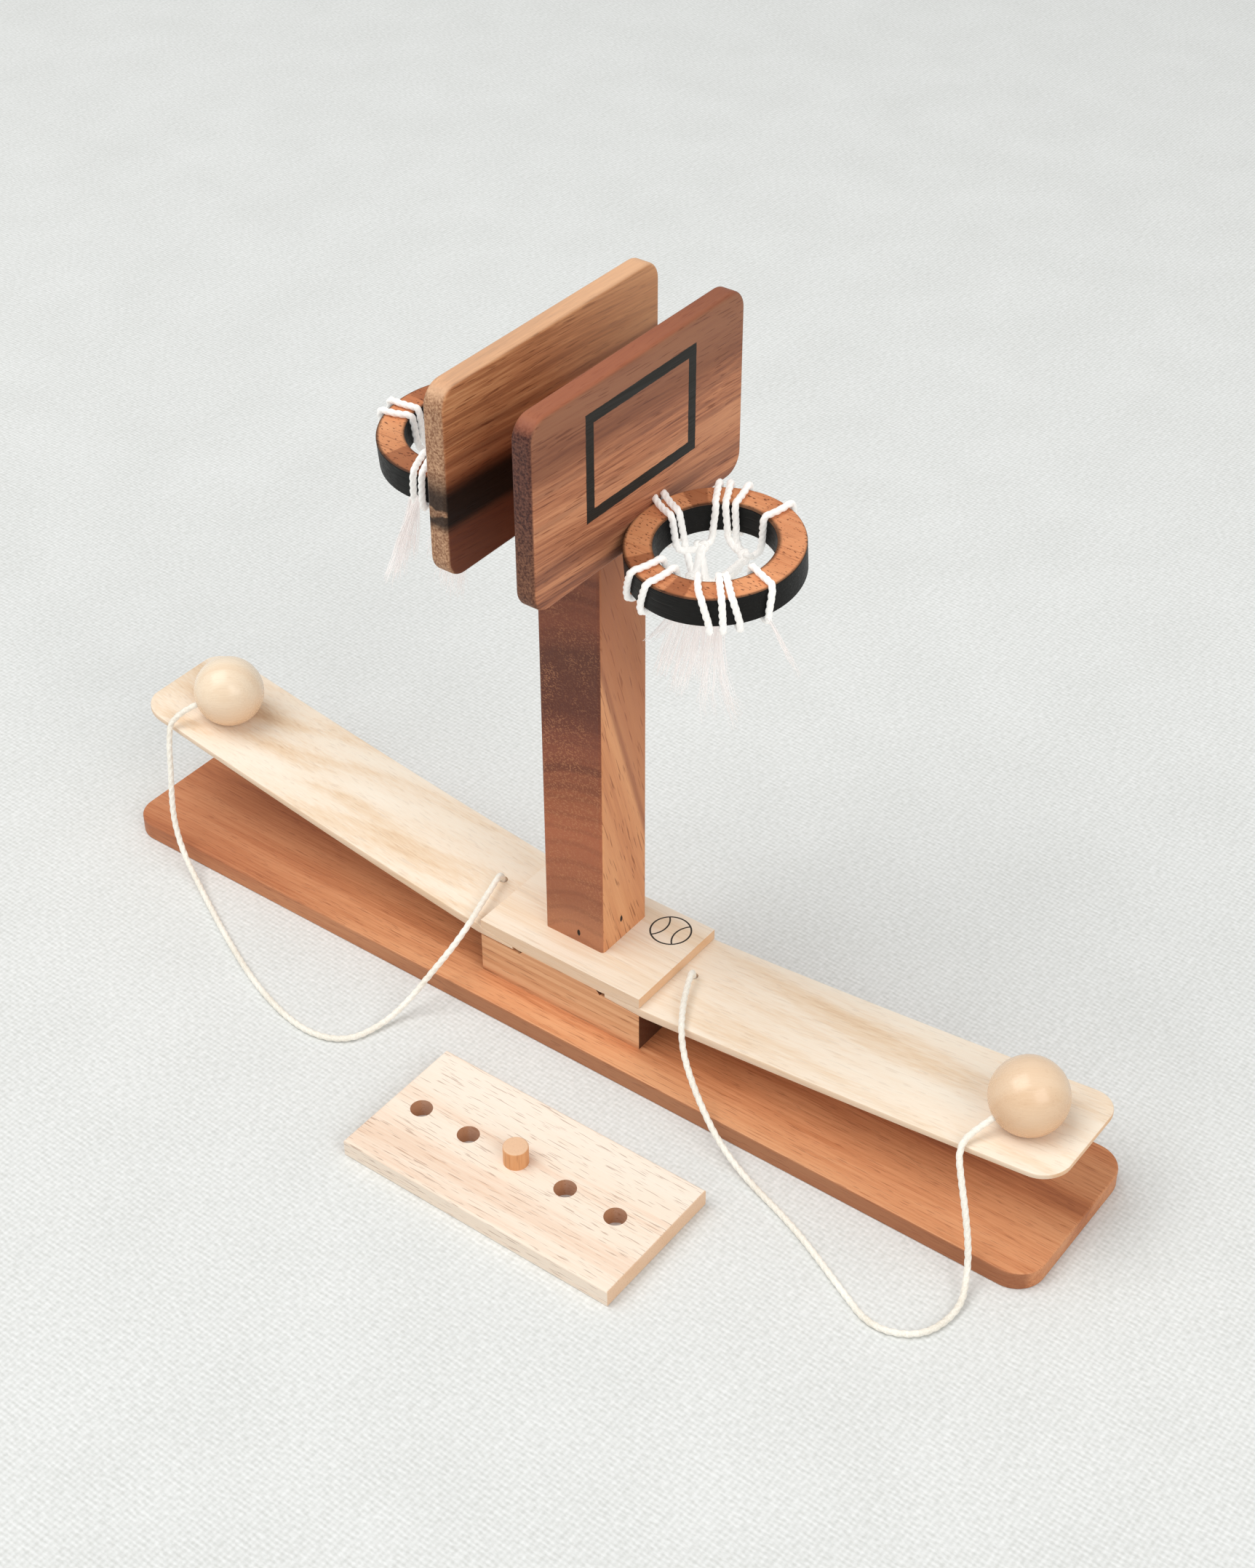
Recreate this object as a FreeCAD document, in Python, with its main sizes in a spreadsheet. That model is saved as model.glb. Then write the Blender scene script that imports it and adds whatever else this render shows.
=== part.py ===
"""Two-player wooden flick-basketball game: a base board, two springy strips, a post with two baskets.

Millimetres, +Z up. The origin is the middle of the base board's underside, which stands on the table.
+X runs along the base board to the right-hand player, and -Y is the side where the score plate lies.
"""
import FreeCAD, Part
import math
import os

import Sketcher
from FreeCAD import Placement, Rotation, Vector

SIDES = (("right", 1), ("left", -1))

SIZES = {
    # base board
    "base_length": 376.0,
    "base_width": 63.5,
    "base_thick": 7.0,
    "base_corner": 10.0,
    "edge_round": 0.6,
    # clamp: block, cover and the strips' clamped ends
    "clamp_x": 2.2,
    "clamp_y": 1.0,
    "clamp_length": 66.0,
    "clamp_width": 42.6,
    "joint_level": 24.0,
    "cover_level": 29.2,
    "slot_tip": 17.0,
    "slot_tip_low": 22.3,
    "slot_tip_high": 23.9,
    "slot_gap_end": 15.4,
    "seat_low_right": 21.7,
    "seat_high_right": 25.2,
    "seat_low_left": 22.9,
    "seat_high_left": 26.4,
    # springy strips
    "strip_width": 42.6,
    "strip_split_right": 36.4,
    "strip_split_left": 32.0,
    "split_gap": 0.6,
    "strip_corner": 9.5,
    "tip_right": 187.0,
    "tip_low_right": 38.2,
    "tip_high_right": 40.1,
    "bend_right": 3700.0,
    "tip_left": 188.0,
    "tip_low_left": 48.9,
    "tip_high_left": 50.8,
    "bend_left": 2800.0,
    "cord_hole": 3.2,
    "cord_hole_x_right": 40.5,
    "cord_hole_y_right": 2.8,
    "cord_hole_x_left": 39.4,
    "cord_hole_y_left": 2.4,
    "ball_seat": 12.0,
    "ball_seat_x_right": 167.7,
    "ball_seat_x_left": 162.7,
    "ball_seat_y": -1.6,
    # balls and cords
    "ball_radius": 12.5,
    "ball_bore": 2.8,
    "ball_bore_depth": 9.0,
    "cord_diameter": 2.2,
    "knot_radius": 2.9,
    "knot_height": 4.6,
    "knot_round": 1.4,
    # post, backboards and hoops
    "tower_x": 0.6,
    "tower_y": 2.5,
    "post_side": 24.0,
    "post_round": 1.2,
    "post_top": 222.0,
    "board_width": 101.5,
    "board_thick": 7.0,
    "board_low": 187.0,
    "board_high": 249.0,
    "board_corner": 7.0,
    "board_edge_round": 1.3,
    "hoop_outer": 26.6,
    "hoop_inner": 17.9,
    "hoop_thick": 9.5,
    "hoop_flat": 0.5,
    "hoop_y_right": 2.5,
    "hoop_y_left": -0.4,
    "hoop_mid_right": 192.1,
    "hoop_mid_left": 200.1,
    "hoop_tilt": 6.0,
    "hoop_edge_round": 0.4,
    "score_edge_round": 0.7,
    # hidden fasteners
    "dowel_radius": 3.0,
    "board_dowel_bite": 5.0,
    "board_dowel_low": 206.0,
    "board_dowel_high": 217.0,
    "hoop_dowel_radius": 2.0,
    "hoop_dowel_half": 5.5,
    "block_dowel_offset": 25.0,
    "block_dowel_bite": 4.0,
    "block_dowel_length": 13.0,
    "cover_dowel_radius": 2.0,
    "cover_dowel_x": 11.0,
    "cover_dowel_y": 12.0,
    "cover_dowel_low": 17.0,
    "cover_dowel_high": 27.4,
    "nail_radius": 0.65,
    "nail_length": 18.0,
    "nail_height_front": 4.1,
    "nail_height_right": 8.5,
    "nail_shift_front": 1.9,
    "nail_shift_right": -2.0,
    "screw_radius": 2.0,
    "screw_head_radius": 4.0,
    "screw_head_depth": 2.4,
    "screw_length": 58.0,
    "screw_slot": 0.9,
    # cotton net
    "strand_radius": 1.1,
    "strand_clearance": 0.25,
    "strand_bend": 1.6,
    "tassel_knot_drop": 21.0,
    "tassel_knot_radius": 4.2,
    "tassel_length": 34.0,
    # score plate and peg
    "score_length": 104.4,
    "score_width": 50.8,
    "score_thick": 6.8,
    "score_x": 36.5,
    "score_y": -83.3,
    "score_first_hole": -4.9,
    "score_pitch": 19.4,
    "score_hole": 3.7,
    "peg_stem": 3.6,
    "peg_head": 4.1,
    "peg_height": 7.0,
    "peg_stem_depth": 5.4,
}
SCORE_HOLES = 5
PEG_HOLE = 2
SEAT_CLEARANCE = 0.05

# directions round each ring, in degrees from +X, at which a strand is passed over it
NET_ANGLES = {
    "right": (150, 141, 124, 115, 105, 66, -19, -44, -52, -65, -101, -116),
    "left": (-178, -168, -84, -76, -60, -50, -32, 32, 48, 60, 80, 96),
}

# how far the tails of each net lean along X and Y on their way down
TASSEL_LEAN = {"right": (-6.0, -4.0), "left": (-4.0, -8.0)}

# free cords: the runs of each route from the knot under the strip to the ball
CORD_ROUTES = {
    "right": (
        (40.5, 2.8, 21.7), (40.5, 2.8, 29.6), (43.6, -5.0, 28.9), (47.8, -13.5, 28.7),
        (54.2, -23.4, 28.3), (57.8, -26.9, 22.8), (63.1, -30.0, 16.9), (71.1, -34.2, 10.9),
        (80.0, -38.2, 5.8), (93.0, -42.3, 1.3), (117.0, -50.2, 1.3), (141.3, -62.2, 1.3),
        (156.5, -69.6, 1.3), (170.6, -63.6, 1.3), (174.6, -48.0, 1.3), (170.0, -36.9, 4.6),
        (168.0, -34.4, 14.0), (163.6, -30.4, 23.2), (159.4, -27.0, 31.2), (156.0, -23.6, 37.4),
        (155.69, -17.01, 39.41), (162.34, -7.46, 45.19),
    ),
    "left": (
        (-39.4, 2.4, 23.3), (-39.4, 2.4, 31.4), (-37.2, -6.0, 30.8), (-35.0, -14.6, 30.3),
        (-32.6, -24.0, 29.2), (-34.9, -31.2, 21.8), (-38.6, -38.6, 13.6), (-42.3, -46.6, 5.0),
        (-44.6, -57.5, 1.3), (-49.0, -70.8, 1.3), (-64.0, -75.6, 1.3), (-88.6, -69.6, 1.3),
        (-115.0, -57.6, 1.3), (-142.0, -43.2, 1.3), (-157.4, -36.2, 7.0), (-163.4, -33.2, 17.4),
        (-165.6, -30.4, 28.6), (-166.9, -28.2, 35.6), (-169.2, -25.4, 44.8),
        (-172.32, -19.81, 52.4), (-165.02, -8.25, 55.39),
    ),
}

doc = FreeCAD.newDocument("FlickBasketball")
sheet = doc.addObject("Spreadsheet::Sheet", "Sizes")
for row, (alias, value) in enumerate(SIZES.items(), start=1):
    sheet.set(f"A{row}", alias)
    sheet.set(f"B{row}", str(value))
    sheet.setAlias(f"B{row}", alias)
doc.recompute()


def size(alias):
    """A driving dimension, read back from the sheet."""
    return float(sheet.get(alias))


def bound(text):
    """An expression in which every word that is an alias reads its cell."""
    words = sorted(SIZES, key=len, reverse=True)
    out, place = "", 0
    while place < len(text):
        hit = next((word for word in words if text.startswith(word, place)), None)
        clear = hit and not text[place + len(hit):place + len(hit) + 1].isalnum()
        out += f"Sizes.{hit}" if clear else text[place]
        place += len(hit) if clear else 1
    return out


def number(text):
    """The value of an expression in the sheet's aliases."""
    cell = doc.getObject("Scratch") or doc.addObject("App::FeaturePython", "Scratch")
    if "Value" not in cell.PropertiesList:
        cell.addProperty("App::PropertyFloat", "Value")
    cell.setExpression("Value", bound(text))
    cell.recompute()
    return cell.Value


def origin_plane(body, role):
    return next(item for item in body.Origin.OriginFeatures if item.Role == role)


def new_body(name):
    body = doc.addObject("PartDesign::Body", name + "_body")
    body.Label = name
    return body


def new_sketch(body, role, name):
    sketch = body.newObject("Sketcher::SketchObject", name)
    sketch.AttachmentSupport = [(origin_plane(body, role), "")]
    sketch.MapMode = "FlatFace"
    return sketch


def pin_point(sketch, edge, end, across, along):
    """Tie one end of a sketch edge to the sketch's origin by two bound distances."""
    for kind, text in (("DistanceX", across), ("DistanceY", along)):
        value = number(text)
        index = sketch.addConstraint(Sketcher.Constraint(kind, -1, 1, edge, end, value))
        sketch.setExpression(f"Constraints[{index}]", bound(text))


def outline_sketch(body, role, name, points, bends=None):
    """Closed outline through bound points; bends maps an edge's number to the bound radius of its arc."""
    sketch = new_sketch(body, role, name)
    places = [Vector(number(across), number(along), 0) for across, along in points]
    count = len(points)
    for edge in range(count):
        start, stop = places[edge], places[(edge + 1) % count]
        if bends and edge in bends:
            radius = number(bends[edge])
            chord = stop.sub(start)
            sag = radius - math.sqrt(radius ** 2 - chord.Length ** 2 / 4)
            middle = start.add(stop).multiply(0.5)
            dip = Vector(chord.y, -chord.x, 0).normalize().multiply(math.copysign(sag, chord.x))
            ends = (start, stop) if chord.x > 0 else (stop, start)
            sketch.addGeometry(Part.Arc(ends[0], middle.add(dip), ends[1]))
        else:
            sketch.addGeometry(Part.LineSegment(start, stop))
    for edge, (across, along) in enumerate(points):
        before = (edge - 1) % count
        arc = bends and edge in bends
        backwards = arc and places[(edge + 1) % count].x < places[edge].x
        first = 2 if backwards else 1
        arc_before = bends and before in bends
        backwards_before = arc_before and places[edge].x < places[before].x
        last = 1 if backwards_before else 2
        sketch.addConstraint(Sketcher.Constraint("Coincident", before, last, edge, first))
        pin_point(sketch, edge, first, across, along)
        if arc:
            index = sketch.addConstraint(Sketcher.Constraint("Radius", edge, number(bends[edge])))
            sketch.setExpression(f"Constraints[{index}]", bound(bends[edge]))
    return sketch


def circle_sketch(body, role, name, circles):
    """Circles given as (across, along, radius), all bound."""
    sketch = new_sketch(body, role, name)
    for edge, (across, along, radius) in enumerate(circles):
        centre = Vector(number(across), number(along), 0)
        sketch.addGeometry(Part.Circle(centre, Vector(0, 0, 1), number(radius)))
        pin_point(sketch, edge, 3, across, along)
        index = sketch.addConstraint(Sketcher.Constraint("Radius", edge, number(radius)))
        sketch.setExpression(f"Constraints[{index}]", bound(radius))
    return sketch


def pad(body, sketch, name, length, both_ways=False):
    feature = body.newObject("PartDesign::Pad", name)
    feature.Profile = sketch
    feature.setExpression("Length", bound(length))
    feature.Midplane = both_ways
    doc.recompute()
    return feature


def pocket_through(body, sketch, name):
    """A cut that runs through the whole body on both sides of the sketch's plane."""
    volume = body.Shape.Volume
    feature = body.newObject("PartDesign::Pocket", name)
    feature.Profile = sketch
    feature.Type = 1
    feature.Midplane = True
    doc.recompute()
    if feature.Shape.Volume >= volume - 0.01:
        raise RuntimeError(f"{name} removes nothing")
    return feature


def edges_where(shape, test):
    return [f"Edge{index}" for index, edge in enumerate(shape.Edges, start=1) if test(edge)]


def round_edges(body, name, radius, test):
    """Round the edges of the body that pass the test."""
    base = body.Tip
    names = edges_where(base.Shape, test)
    if not names:
        raise RuntimeError(f"{name} finds no edges")
    feature = body.newObject("PartDesign::Fillet", name)
    feature.Base = (base, names)
    feature.setExpression("Radius", bound(radius))
    doc.recompute()
    return feature


def along(axis):
    """A test for straight edges that run along one axis."""
    def test(edge):
        direction = edge.Vertexes[-1].Point.sub(edge.Vertexes[0].Point)
        return len(edge.Vertexes) == 2 and direction.Length > 0.5 and \
            abs(abs(direction.normalize().dot(axis)) - 1) < 1e-4
    return test


def at_level(*levels):
    """A test for edges that lie wholly at one of the given heights."""
    def test(edge):
        box = edge.BoundBox
        return any(abs(box.ZMin - level) < 1e-3 and abs(box.ZMax - level) < 1e-3 for level in levels)
    return test


def rectangle(low_x, high_x, low_y, high_y):
    return ((low_x, low_y), (high_x, low_y), (high_x, high_y), (low_x, high_y))


def solid_feature(name, shape, placement=None):
    feature = doc.addObject("Part::Feature", name)
    feature.Label = name
    feature.Shape = shape
    if placement:
        feature.Placement = placement
    return feature


def drilled(name, body, *cutters):
    """The body with the cutters' shapes taken out of it, kept as the named sub-part."""
    tool = solid_feature(name + "_holes", Part.makeCompound(cutters))
    feature = doc.addObject("Part::Cut", name + "_cut")
    feature.Base = body
    feature.Tool = tool
    body.Label = name + "_blank"
    feature.Label = name
    doc.recompute()
    if feature.Shape.Volume >= body.Shape.Volume - 0.01:
        raise RuntimeError(f"{name} is not drilled")
    return feature


def rod(start, stop, radius):
    """A plain cylinder between two points."""
    axis = stop.sub(start)
    return Part.makeCylinder(radius, axis.Length, start, axis)


nodes = {}
ALONG_X, ALONG_Y, ALONG_Z = Vector(1, 0, 0), Vector(0, 1, 0), Vector(0, 0, 1)
clamp_middle = Vector(size("clamp_x"), size("clamp_y"), 0)
tower = Vector(size("tower_x"), size("tower_y"), 0)


# ---- hidden fasteners, made first because their holes are cut with them ----
def post_screw_shape():
    head, shank, depth = size("screw_head_radius"), size("screw_radius"), size("screw_head_depth")
    cone = Part.makeCone(head, shank, depth)
    shank_rod = Part.makeCylinder(shank, size("screw_length") - depth, Vector(0, 0, depth))
    slot = Part.makeBox(head * 2, size("screw_slot"), depth / 2, Vector(-head, -size("screw_slot") / 2, 0))
    shape = cone.fuse(shank_rod).cut(slot).removeSplitter()
    shape.translate(tower)
    return shape


def post_screw_hole():
    """The countersunk way for the screw, without its driving slot."""
    head, shank, depth = size("screw_head_radius"), size("screw_radius"), size("screw_head_depth")
    cone = Part.makeCone(head, shank, depth)
    shank_rod = Part.makeCylinder(shank, size("screw_length") - depth, Vector(0, 0, depth))
    shape = cone.fuse(shank_rod).removeSplitter()
    shape.translate(tower)
    return shape


def block_dowel_shapes():
    low = size("base_thick") - size("block_dowel_bite")
    high = low + size("block_dowel_length")
    shapes = []
    for _, side in SIDES:
        foot = clamp_middle.add(Vector(side * size("block_dowel_offset"), 0, 0))
        shapes.append(rod(foot.add(Vector(0, 0, low)), foot.add(Vector(0, 0, high)), size("dowel_radius")))
    return shapes


def cover_dowel_shapes():
    """Two blind dowels on a diagonal, between the block and the cover."""
    shapes = []
    for _, side in SIDES:
        place = clamp_middle.add(Vector(side * size("cover_dowel_x"), side * size("cover_dowel_y"), 0))
        low = place.add(Vector(0, 0, size("cover_dowel_low")))
        high = place.add(Vector(0, 0, size("cover_dowel_high")))
        shapes.append(rod(low, high, size("cover_dowel_radius")))
    return shapes


def post_nail_shapes():
    """Two nails driven slantwise through the foot of the post into the cover and the block."""
    half = size("post_side") / 2
    shapes = []
    front = Vector(size("nail_shift_front"), -half, size("cover_level") + size("nail_height_front"))
    right = Vector(half, size("nail_shift_right"), size("cover_level") + size("nail_height_right"))
    for place, face in ((front, Vector(0, -1, 0)), (right, ALONG_X)):
        head = tower.add(place)
        aim = (face * -0.5).add(Vector(0, 0, -math.sqrt(0.75)))
        nail = rod(head.sub(aim * 4), head.add(aim * size("nail_length")), size("nail_radius"))
        shapes.append(nail.common(post_box()))
    return shapes


def post_box():
    side = size("post_side")
    box = Part.makeBox(side, side, size("post_top"))
    box.translate(tower.sub(Vector(side / 2, side / 2, 0)))
    return box


def board_dowel_shapes():
    reach = size("post_side") / 2 + size("board_dowel_bite")
    shapes = []
    for level in ("board_dowel_low", "board_dowel_high"):
        middle = tower.add(Vector(0, 0, size(level)))
        ends = middle.sub(ALONG_X * reach), middle.add(ALONG_X * reach)
        shapes.append(rod(*ends, size("dowel_radius")))
    return shapes


def board_face(side):
    """The outer face of a backboard, as a distance along X."""
    return tower.x + side * (size("post_side") / 2 + size("board_thick"))


def hoop_dowel_shapes():
    shapes = []
    for name, side in SIDES:
        middle = Vector(board_face(side), size("hoop_y_" + name), size("hoop_mid_" + name))
        reach = ALONG_X * size("hoop_dowel_half")
        shapes.append(rod(middle.sub(reach), middle.add(reach), size("hoop_dowel_radius")))
    return shapes


nodes["post_screw"] = solid_feature("post_screw", post_screw_shape())
nodes["post_nails"] = solid_feature("post_nails", Part.makeCompound(post_nail_shapes()))
nodes["block_dowels"] = solid_feature("block_dowels", Part.makeCompound(block_dowel_shapes()))
nodes["cover_dowels"] = solid_feature("cover_dowels", Part.makeCompound(cover_dowel_shapes()))
nodes["backboard_dowels"] = solid_feature("backboard_dowels", Part.makeCompound(board_dowel_shapes()))
nodes["hoop_dowels"] = solid_feature("hoop_dowels", Part.makeCompound(hoop_dowel_shapes()))


screw_way = post_screw_hole()


# ---- base board ----
def make_base_board():
    body = new_body("base_board")
    half_x, half_y = "base_length/2", "base_width/2"
    sketch = outline_sketch(body, "XY_Plane", "base_outline",
                            rectangle("-" + half_x, half_x, "-" + half_y, half_y))
    pad(body, sketch, "base_pad", "base_thick")
    round_edges(body, "base_corners", "base_corner", along(ALONG_Z))
    round_edges(body, "base_edges", "edge_round", at_level(size("base_thick"), 0.0))
    return drilled("base_board", body, screw_way, nodes["block_dowels"].Shape)


# ---- clamp: block, cover ----
def clamp_profile(name, points):
    """An XZ outline round the clamp's middle, as wide as the clamp."""
    body = new_body(name)
    sketch = outline_sketch(body, "XZ_Plane", name + "_outline", points)
    pad(body, sketch, name + "_pad", "clamp_width", both_ways=True)
    body.Placement = Placement(clamp_middle, Rotation())
    doc.recompute()
    return body


def make_spacer_block():
    half = "clamp_length/2"
    body = clamp_profile("spacer_block", (
        ("-" + half, "base_thick"), (half, "base_thick"), (half, "seat_low_right"),
        ("slot_tip", "slot_tip_low"), ("slot_gap_end", "joint_level"),
        ("-slot_gap_end", "joint_level"), ("-slot_tip", "slot_tip_low"), ("-" + half, "seat_low_left"),
    ))
    fasteners = [nodes[name].Shape for name in ("block_dowels", "cover_dowels", "post_nails")]
    return drilled("spacer_block", body, screw_way, *fasteners)


def make_cover_plate():
    half = "clamp_length/2"
    body = clamp_profile("cover_plate", (
        ("-" + half, "seat_high_left"), ("-slot_tip", "slot_tip_high"), ("-slot_gap_end", "joint_level"),
        ("slot_gap_end", "joint_level"), ("slot_tip", "slot_tip_high"), (half, "seat_high_right"),
        (half, "cover_level"), ("-" + half, "cover_level"),
    ))
    fasteners = [nodes[name].Shape for name in ("cover_dowels", "post_nails")]
    return drilled("cover_plate", body, screw_way, *fasteners)


nodes["base_board"] = make_base_board()
nodes["spacer_block"] = make_spacer_block()
nodes["cover_plate"] = make_cover_plate()


# ---- springy strips ----
def make_strip_root(name, side):
    """The clamped end of a strip: it fills its slot and stops just outside the clamp."""
    sign = "+" if side > 0 else "-"
    tip, mouth = f"clamp_x{sign}slot_tip", f"clamp_x{sign}clamp_length/2"
    split = f"{sign}(strip_split_{name}-split_gap/2)"
    low, high = f"seat_low_{name}", f"seat_high_{name}"
    body = new_body("springboard_root_" + name)
    sketch = outline_sketch(body, "XZ_Plane", "root_outline_" + name, (
        (tip, "slot_tip_low"), (mouth, low), (split, low), (split, high), (mouth, high),
        (tip, "slot_tip_high"),
    ))
    pad(body, sketch, "root_pad_" + name, "strip_width", both_ways=True)
    body.Placement = Placement(Vector(0, clamp_middle.y, 0), Rotation())
    doc.recompute()
    return body


def make_strip(name, side):
    """The free part of a strip: bent a little upwards, thinner towards its tip."""
    sign = "+" if side > 0 else "-"
    start, tip = f"{sign}(strip_split_{name}+split_gap/2)", f"{sign}tip_{name}"
    points = (
        (start, f"seat_low_{name}"), (tip, f"tip_low_{name}"),
        (tip, f"tip_high_{name}"), (start, f"seat_high_{name}"),
    )
    body = new_body("springboard_" + name)
    sketch = outline_sketch(body, "XZ_Plane", "strip_outline_" + name, points,
                            bends={0: "bend_" + name, 2: "bend_" + name})
    pad(body, sketch, "strip_pad_" + name, "strip_width", both_ways=True)
    at_tip = along(ALONG_Z)
    round_edges(body, "strip_corners_" + name, "strip_corner",
                lambda edge: at_tip(edge) and abs(edge.CenterOfMass.x) > size("tip_" + name) - 1)
    holes = circle_sketch(body, "XY_Plane", "strip_holes_" + name, (
        (f"{sign}cord_hole_x_{name}", f"cord_hole_y_{name}-clamp_y", "cord_hole/2"),
        (f"{sign}ball_seat_x_{name}", "ball_seat_y-clamp_y", "ball_seat/2"),
    ))
    pocket_through(body, holes, "strip_bores_" + name)
    body.Placement = Placement(Vector(0, clamp_middle.y, 0), Rotation())
    doc.recompute()
    return body


def strip_arc(name, level, x):
    """Height and slope of a strip's upper or lower face at a distance x from the middle."""
    x0, x1 = size("strip_split_" + name) + size("split_gap") / 2, size("tip_" + name)
    z0, z1 = size(f"seat_{level}_{name}"), size(f"tip_{level}_{name}")
    radius = size("bend_" + name)
    half = math.hypot(x1 - x0, z1 - z0) / 2
    lean = math.atan2(z1 - z0, x1 - x0)
    rise = math.sqrt(radius ** 2 - half ** 2)
    centre_x = (x0 + x1) / 2 - rise * math.sin(lean)
    centre_z = (z0 + z1) / 2 + rise * math.cos(lean)
    drop = math.sqrt(radius ** 2 - (x - centre_x) ** 2)
    return centre_z - drop, (x - centre_x) / drop


for name, side in SIDES:
    nodes["springboard_root_" + name] = make_strip_root(name, side)
    nodes["springboard_" + name] = make_strip(name, side)


# ---- balls ----
def ball_middle(name, side):
    """The ball rests on the rim of the seat hole, so its middle stands square above the strip there."""
    x = size("ball_seat_x_" + name)
    height, slope = strip_arc(name, "high", x)
    reach = math.sqrt(size("ball_radius") ** 2 - (size("ball_seat") / 2) ** 2) + SEAT_CLEARANCE
    lean = math.hypot(1, slope)
    return Vector(side * (x - reach * slope / lean), size("ball_seat_y"), height + reach / lean)


def make_ball(name, side):
    middle = ball_middle(name, side)
    ball = doc.addObject("Part::Sphere", "ball_round_" + name)
    ball.setExpression("Radius", bound("ball_radius"))
    ball.Placement = Placement(middle, Rotation())
    outward = Vector(*CORD_ROUTES[name][-1]).sub(middle).normalize()
    bore = doc.addObject("Part::Cylinder", "ball_bore_" + name)
    bore.setExpression("Radius", bound("ball_bore/2"))
    bore.setExpression("Height", bound("ball_bore_depth*2"))
    depth = size("ball_radius") - size("ball_bore_depth")
    bore.Placement = Placement(middle.add(outward * depth), Rotation(ALONG_Z, outward))
    feature = doc.addObject("Part::Cut", "ball_cut_" + name)
    feature.Base, feature.Tool = ball, bore
    feature.Label = "ball_" + name
    doc.recompute()
    return feature


# ---- cords ----
def rounded_path(points, bend=math.inf):
    """Straight runs joined by tangent arcs as large as the runs and the given bend allow, and the arcs' radii."""
    count = len(points)
    runs = [points[i + 1].sub(points[i]) for i in range(count - 1)]
    edges, radii, here = [], [], points[0]
    for corner in range(1, count - 1):
        before, after = runs[corner - 1], runs[corner]
        turn = before.getAngle(after)
        reach = min(0.45 * min(before.Length, after.Length), bend * math.tan(turn / 2))
        back, ahead = Vector(before).normalize(), Vector(after).normalize()
        start, stop = points[corner].sub(back * reach), points[corner].add(ahead * reach)
        radius = reach / math.tan(turn / 2)
        inward = ahead.sub(back).normalize()
        middle = points[corner].add(inward * (radius / math.cos(turn / 2) - radius))
        edges.append(Part.LineSegment(here, start).toShape())
        edges.append(Part.Arc(start, middle, stop).toShape())
        radii.append(radius)
        here = stop
    edges.append(Part.LineSegment(here, points[-1]).toShape())
    return Part.Wire(edges), radii


def tube(points, radius, bend=math.inf):
    """A round cord along a rounded path, with the path's length and its arcs' radii."""
    path, radii = rounded_path(points, bend)
    first = points[1].sub(points[0])
    section = Part.Wire([Part.makeCircle(radius, points[0], first)])
    solid = path.makePipeShell([section], True, False)
    solid = solid if solid.ShapeType == "Solid" else solid.Solids[0]
    expected = math.pi * radius ** 2 * path.Length
    if abs(solid.Volume / expected - 1) > 0.02:
        raise RuntimeError(f"tube volume {solid.Volume:.1f}, expected {expected:.1f}")
    return solid, path.Length, radii


def make_knot(name, side):
    """The cord's stopper knot, a rounded barrel just under the strip."""
    body = new_body("cord_knot_" + name)
    outline = circle_sketch(body, "XY_Plane", "knot_outline_" + name, (("0", "0", "knot_radius"),))
    pad(body, outline, "knot_pad_" + name, "knot_height")
    round_edges(body, "knot_round_" + name, "knot_round", at_level(size("knot_height"), 0.0))
    across, along_y = side * size("cord_hole_x_" + name), size("cord_hole_y_" + name)
    height = CORD_ROUTES[name][0][2] - size("knot_height")
    body.Placement = Placement(Vector(across, along_y, height), Rotation())
    doc.recompute()
    return body


def make_cord(name):
    points = [Vector(*place) for place in CORD_ROUTES[name]]
    solid, length, radii = tube(points, size("cord_diameter") / 2)
    print(f"cord_{name}: length {length:.0f} mm, radii", " ".join(f"{radius:.0f}" for radius in radii))
    return solid_feature("cord_" + name, solid)


for name, side in SIDES:
    nodes["ball_" + name] = make_ball(name, side)
    nodes["cord_knot_" + name] = make_knot(name, side)
    nodes["cord_" + name] = make_cord(name)


# ---- post and backboards ----
def make_post():
    body = new_body("post")
    half = "post_side/2"
    sketch = outline_sketch(body, "XY_Plane", "post_outline", rectangle("-" + half, half, "-" + half, half))
    pad(body, sketch, "post_pad", "post_top-cover_level")
    round_edges(body, "post_edges", "post_round", along(ALONG_Z))
    body.Placement = Placement(tower.add(Vector(0, 0, size("cover_level"))), Rotation())
    doc.recompute()
    fasteners = [nodes[name].Shape for name in ("post_nails", "backboard_dowels")]
    return drilled("post", body, screw_way, *fasteners)


def make_backboard(name, side):
    body = new_body("backboard_" + name)
    half = "board_width/2"
    sketch = outline_sketch(body, "YZ_Plane", "board_outline_" + name,
                            rectangle("-" + half, half, "board_low", "board_high"))
    pad(body, sketch, "board_pad_" + name, "board_thick")
    round_edges(body, "board_corners_" + name, "board_corner", along(ALONG_X))
    round_edges(body, "board_edges_" + name, "board_edge_round", on_faces_across_x)
    inner = tower.x + side * size("post_side") / 2
    start = inner if side > 0 else inner - size("board_thick")
    body.Placement = Placement(Vector(start, tower.y, 0), Rotation())
    doc.recompute()
    fasteners = [nodes[key].Shape for key in ("backboard_dowels", "hoop_dowels")]
    return drilled("backboard_" + name, body, *fasteners)


def on_faces_across_x(edge):
    return edge.BoundBox.XLength < 1e-3


nodes["post"] = make_post()
for name, side in SIDES:
    nodes["backboard_" + name] = make_backboard(name, side)


# ---- hoops and their cotton nets ----
def hoop_placement(name, side):
    reach = size("hoop_outer") - size("hoop_flat")
    middle = Vector(board_face(side) + side * reach, size("hoop_y_" + name), size("hoop_mid_" + name))
    return Placement(middle, Rotation(ALONG_X, size("hoop_tilt")))


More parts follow.
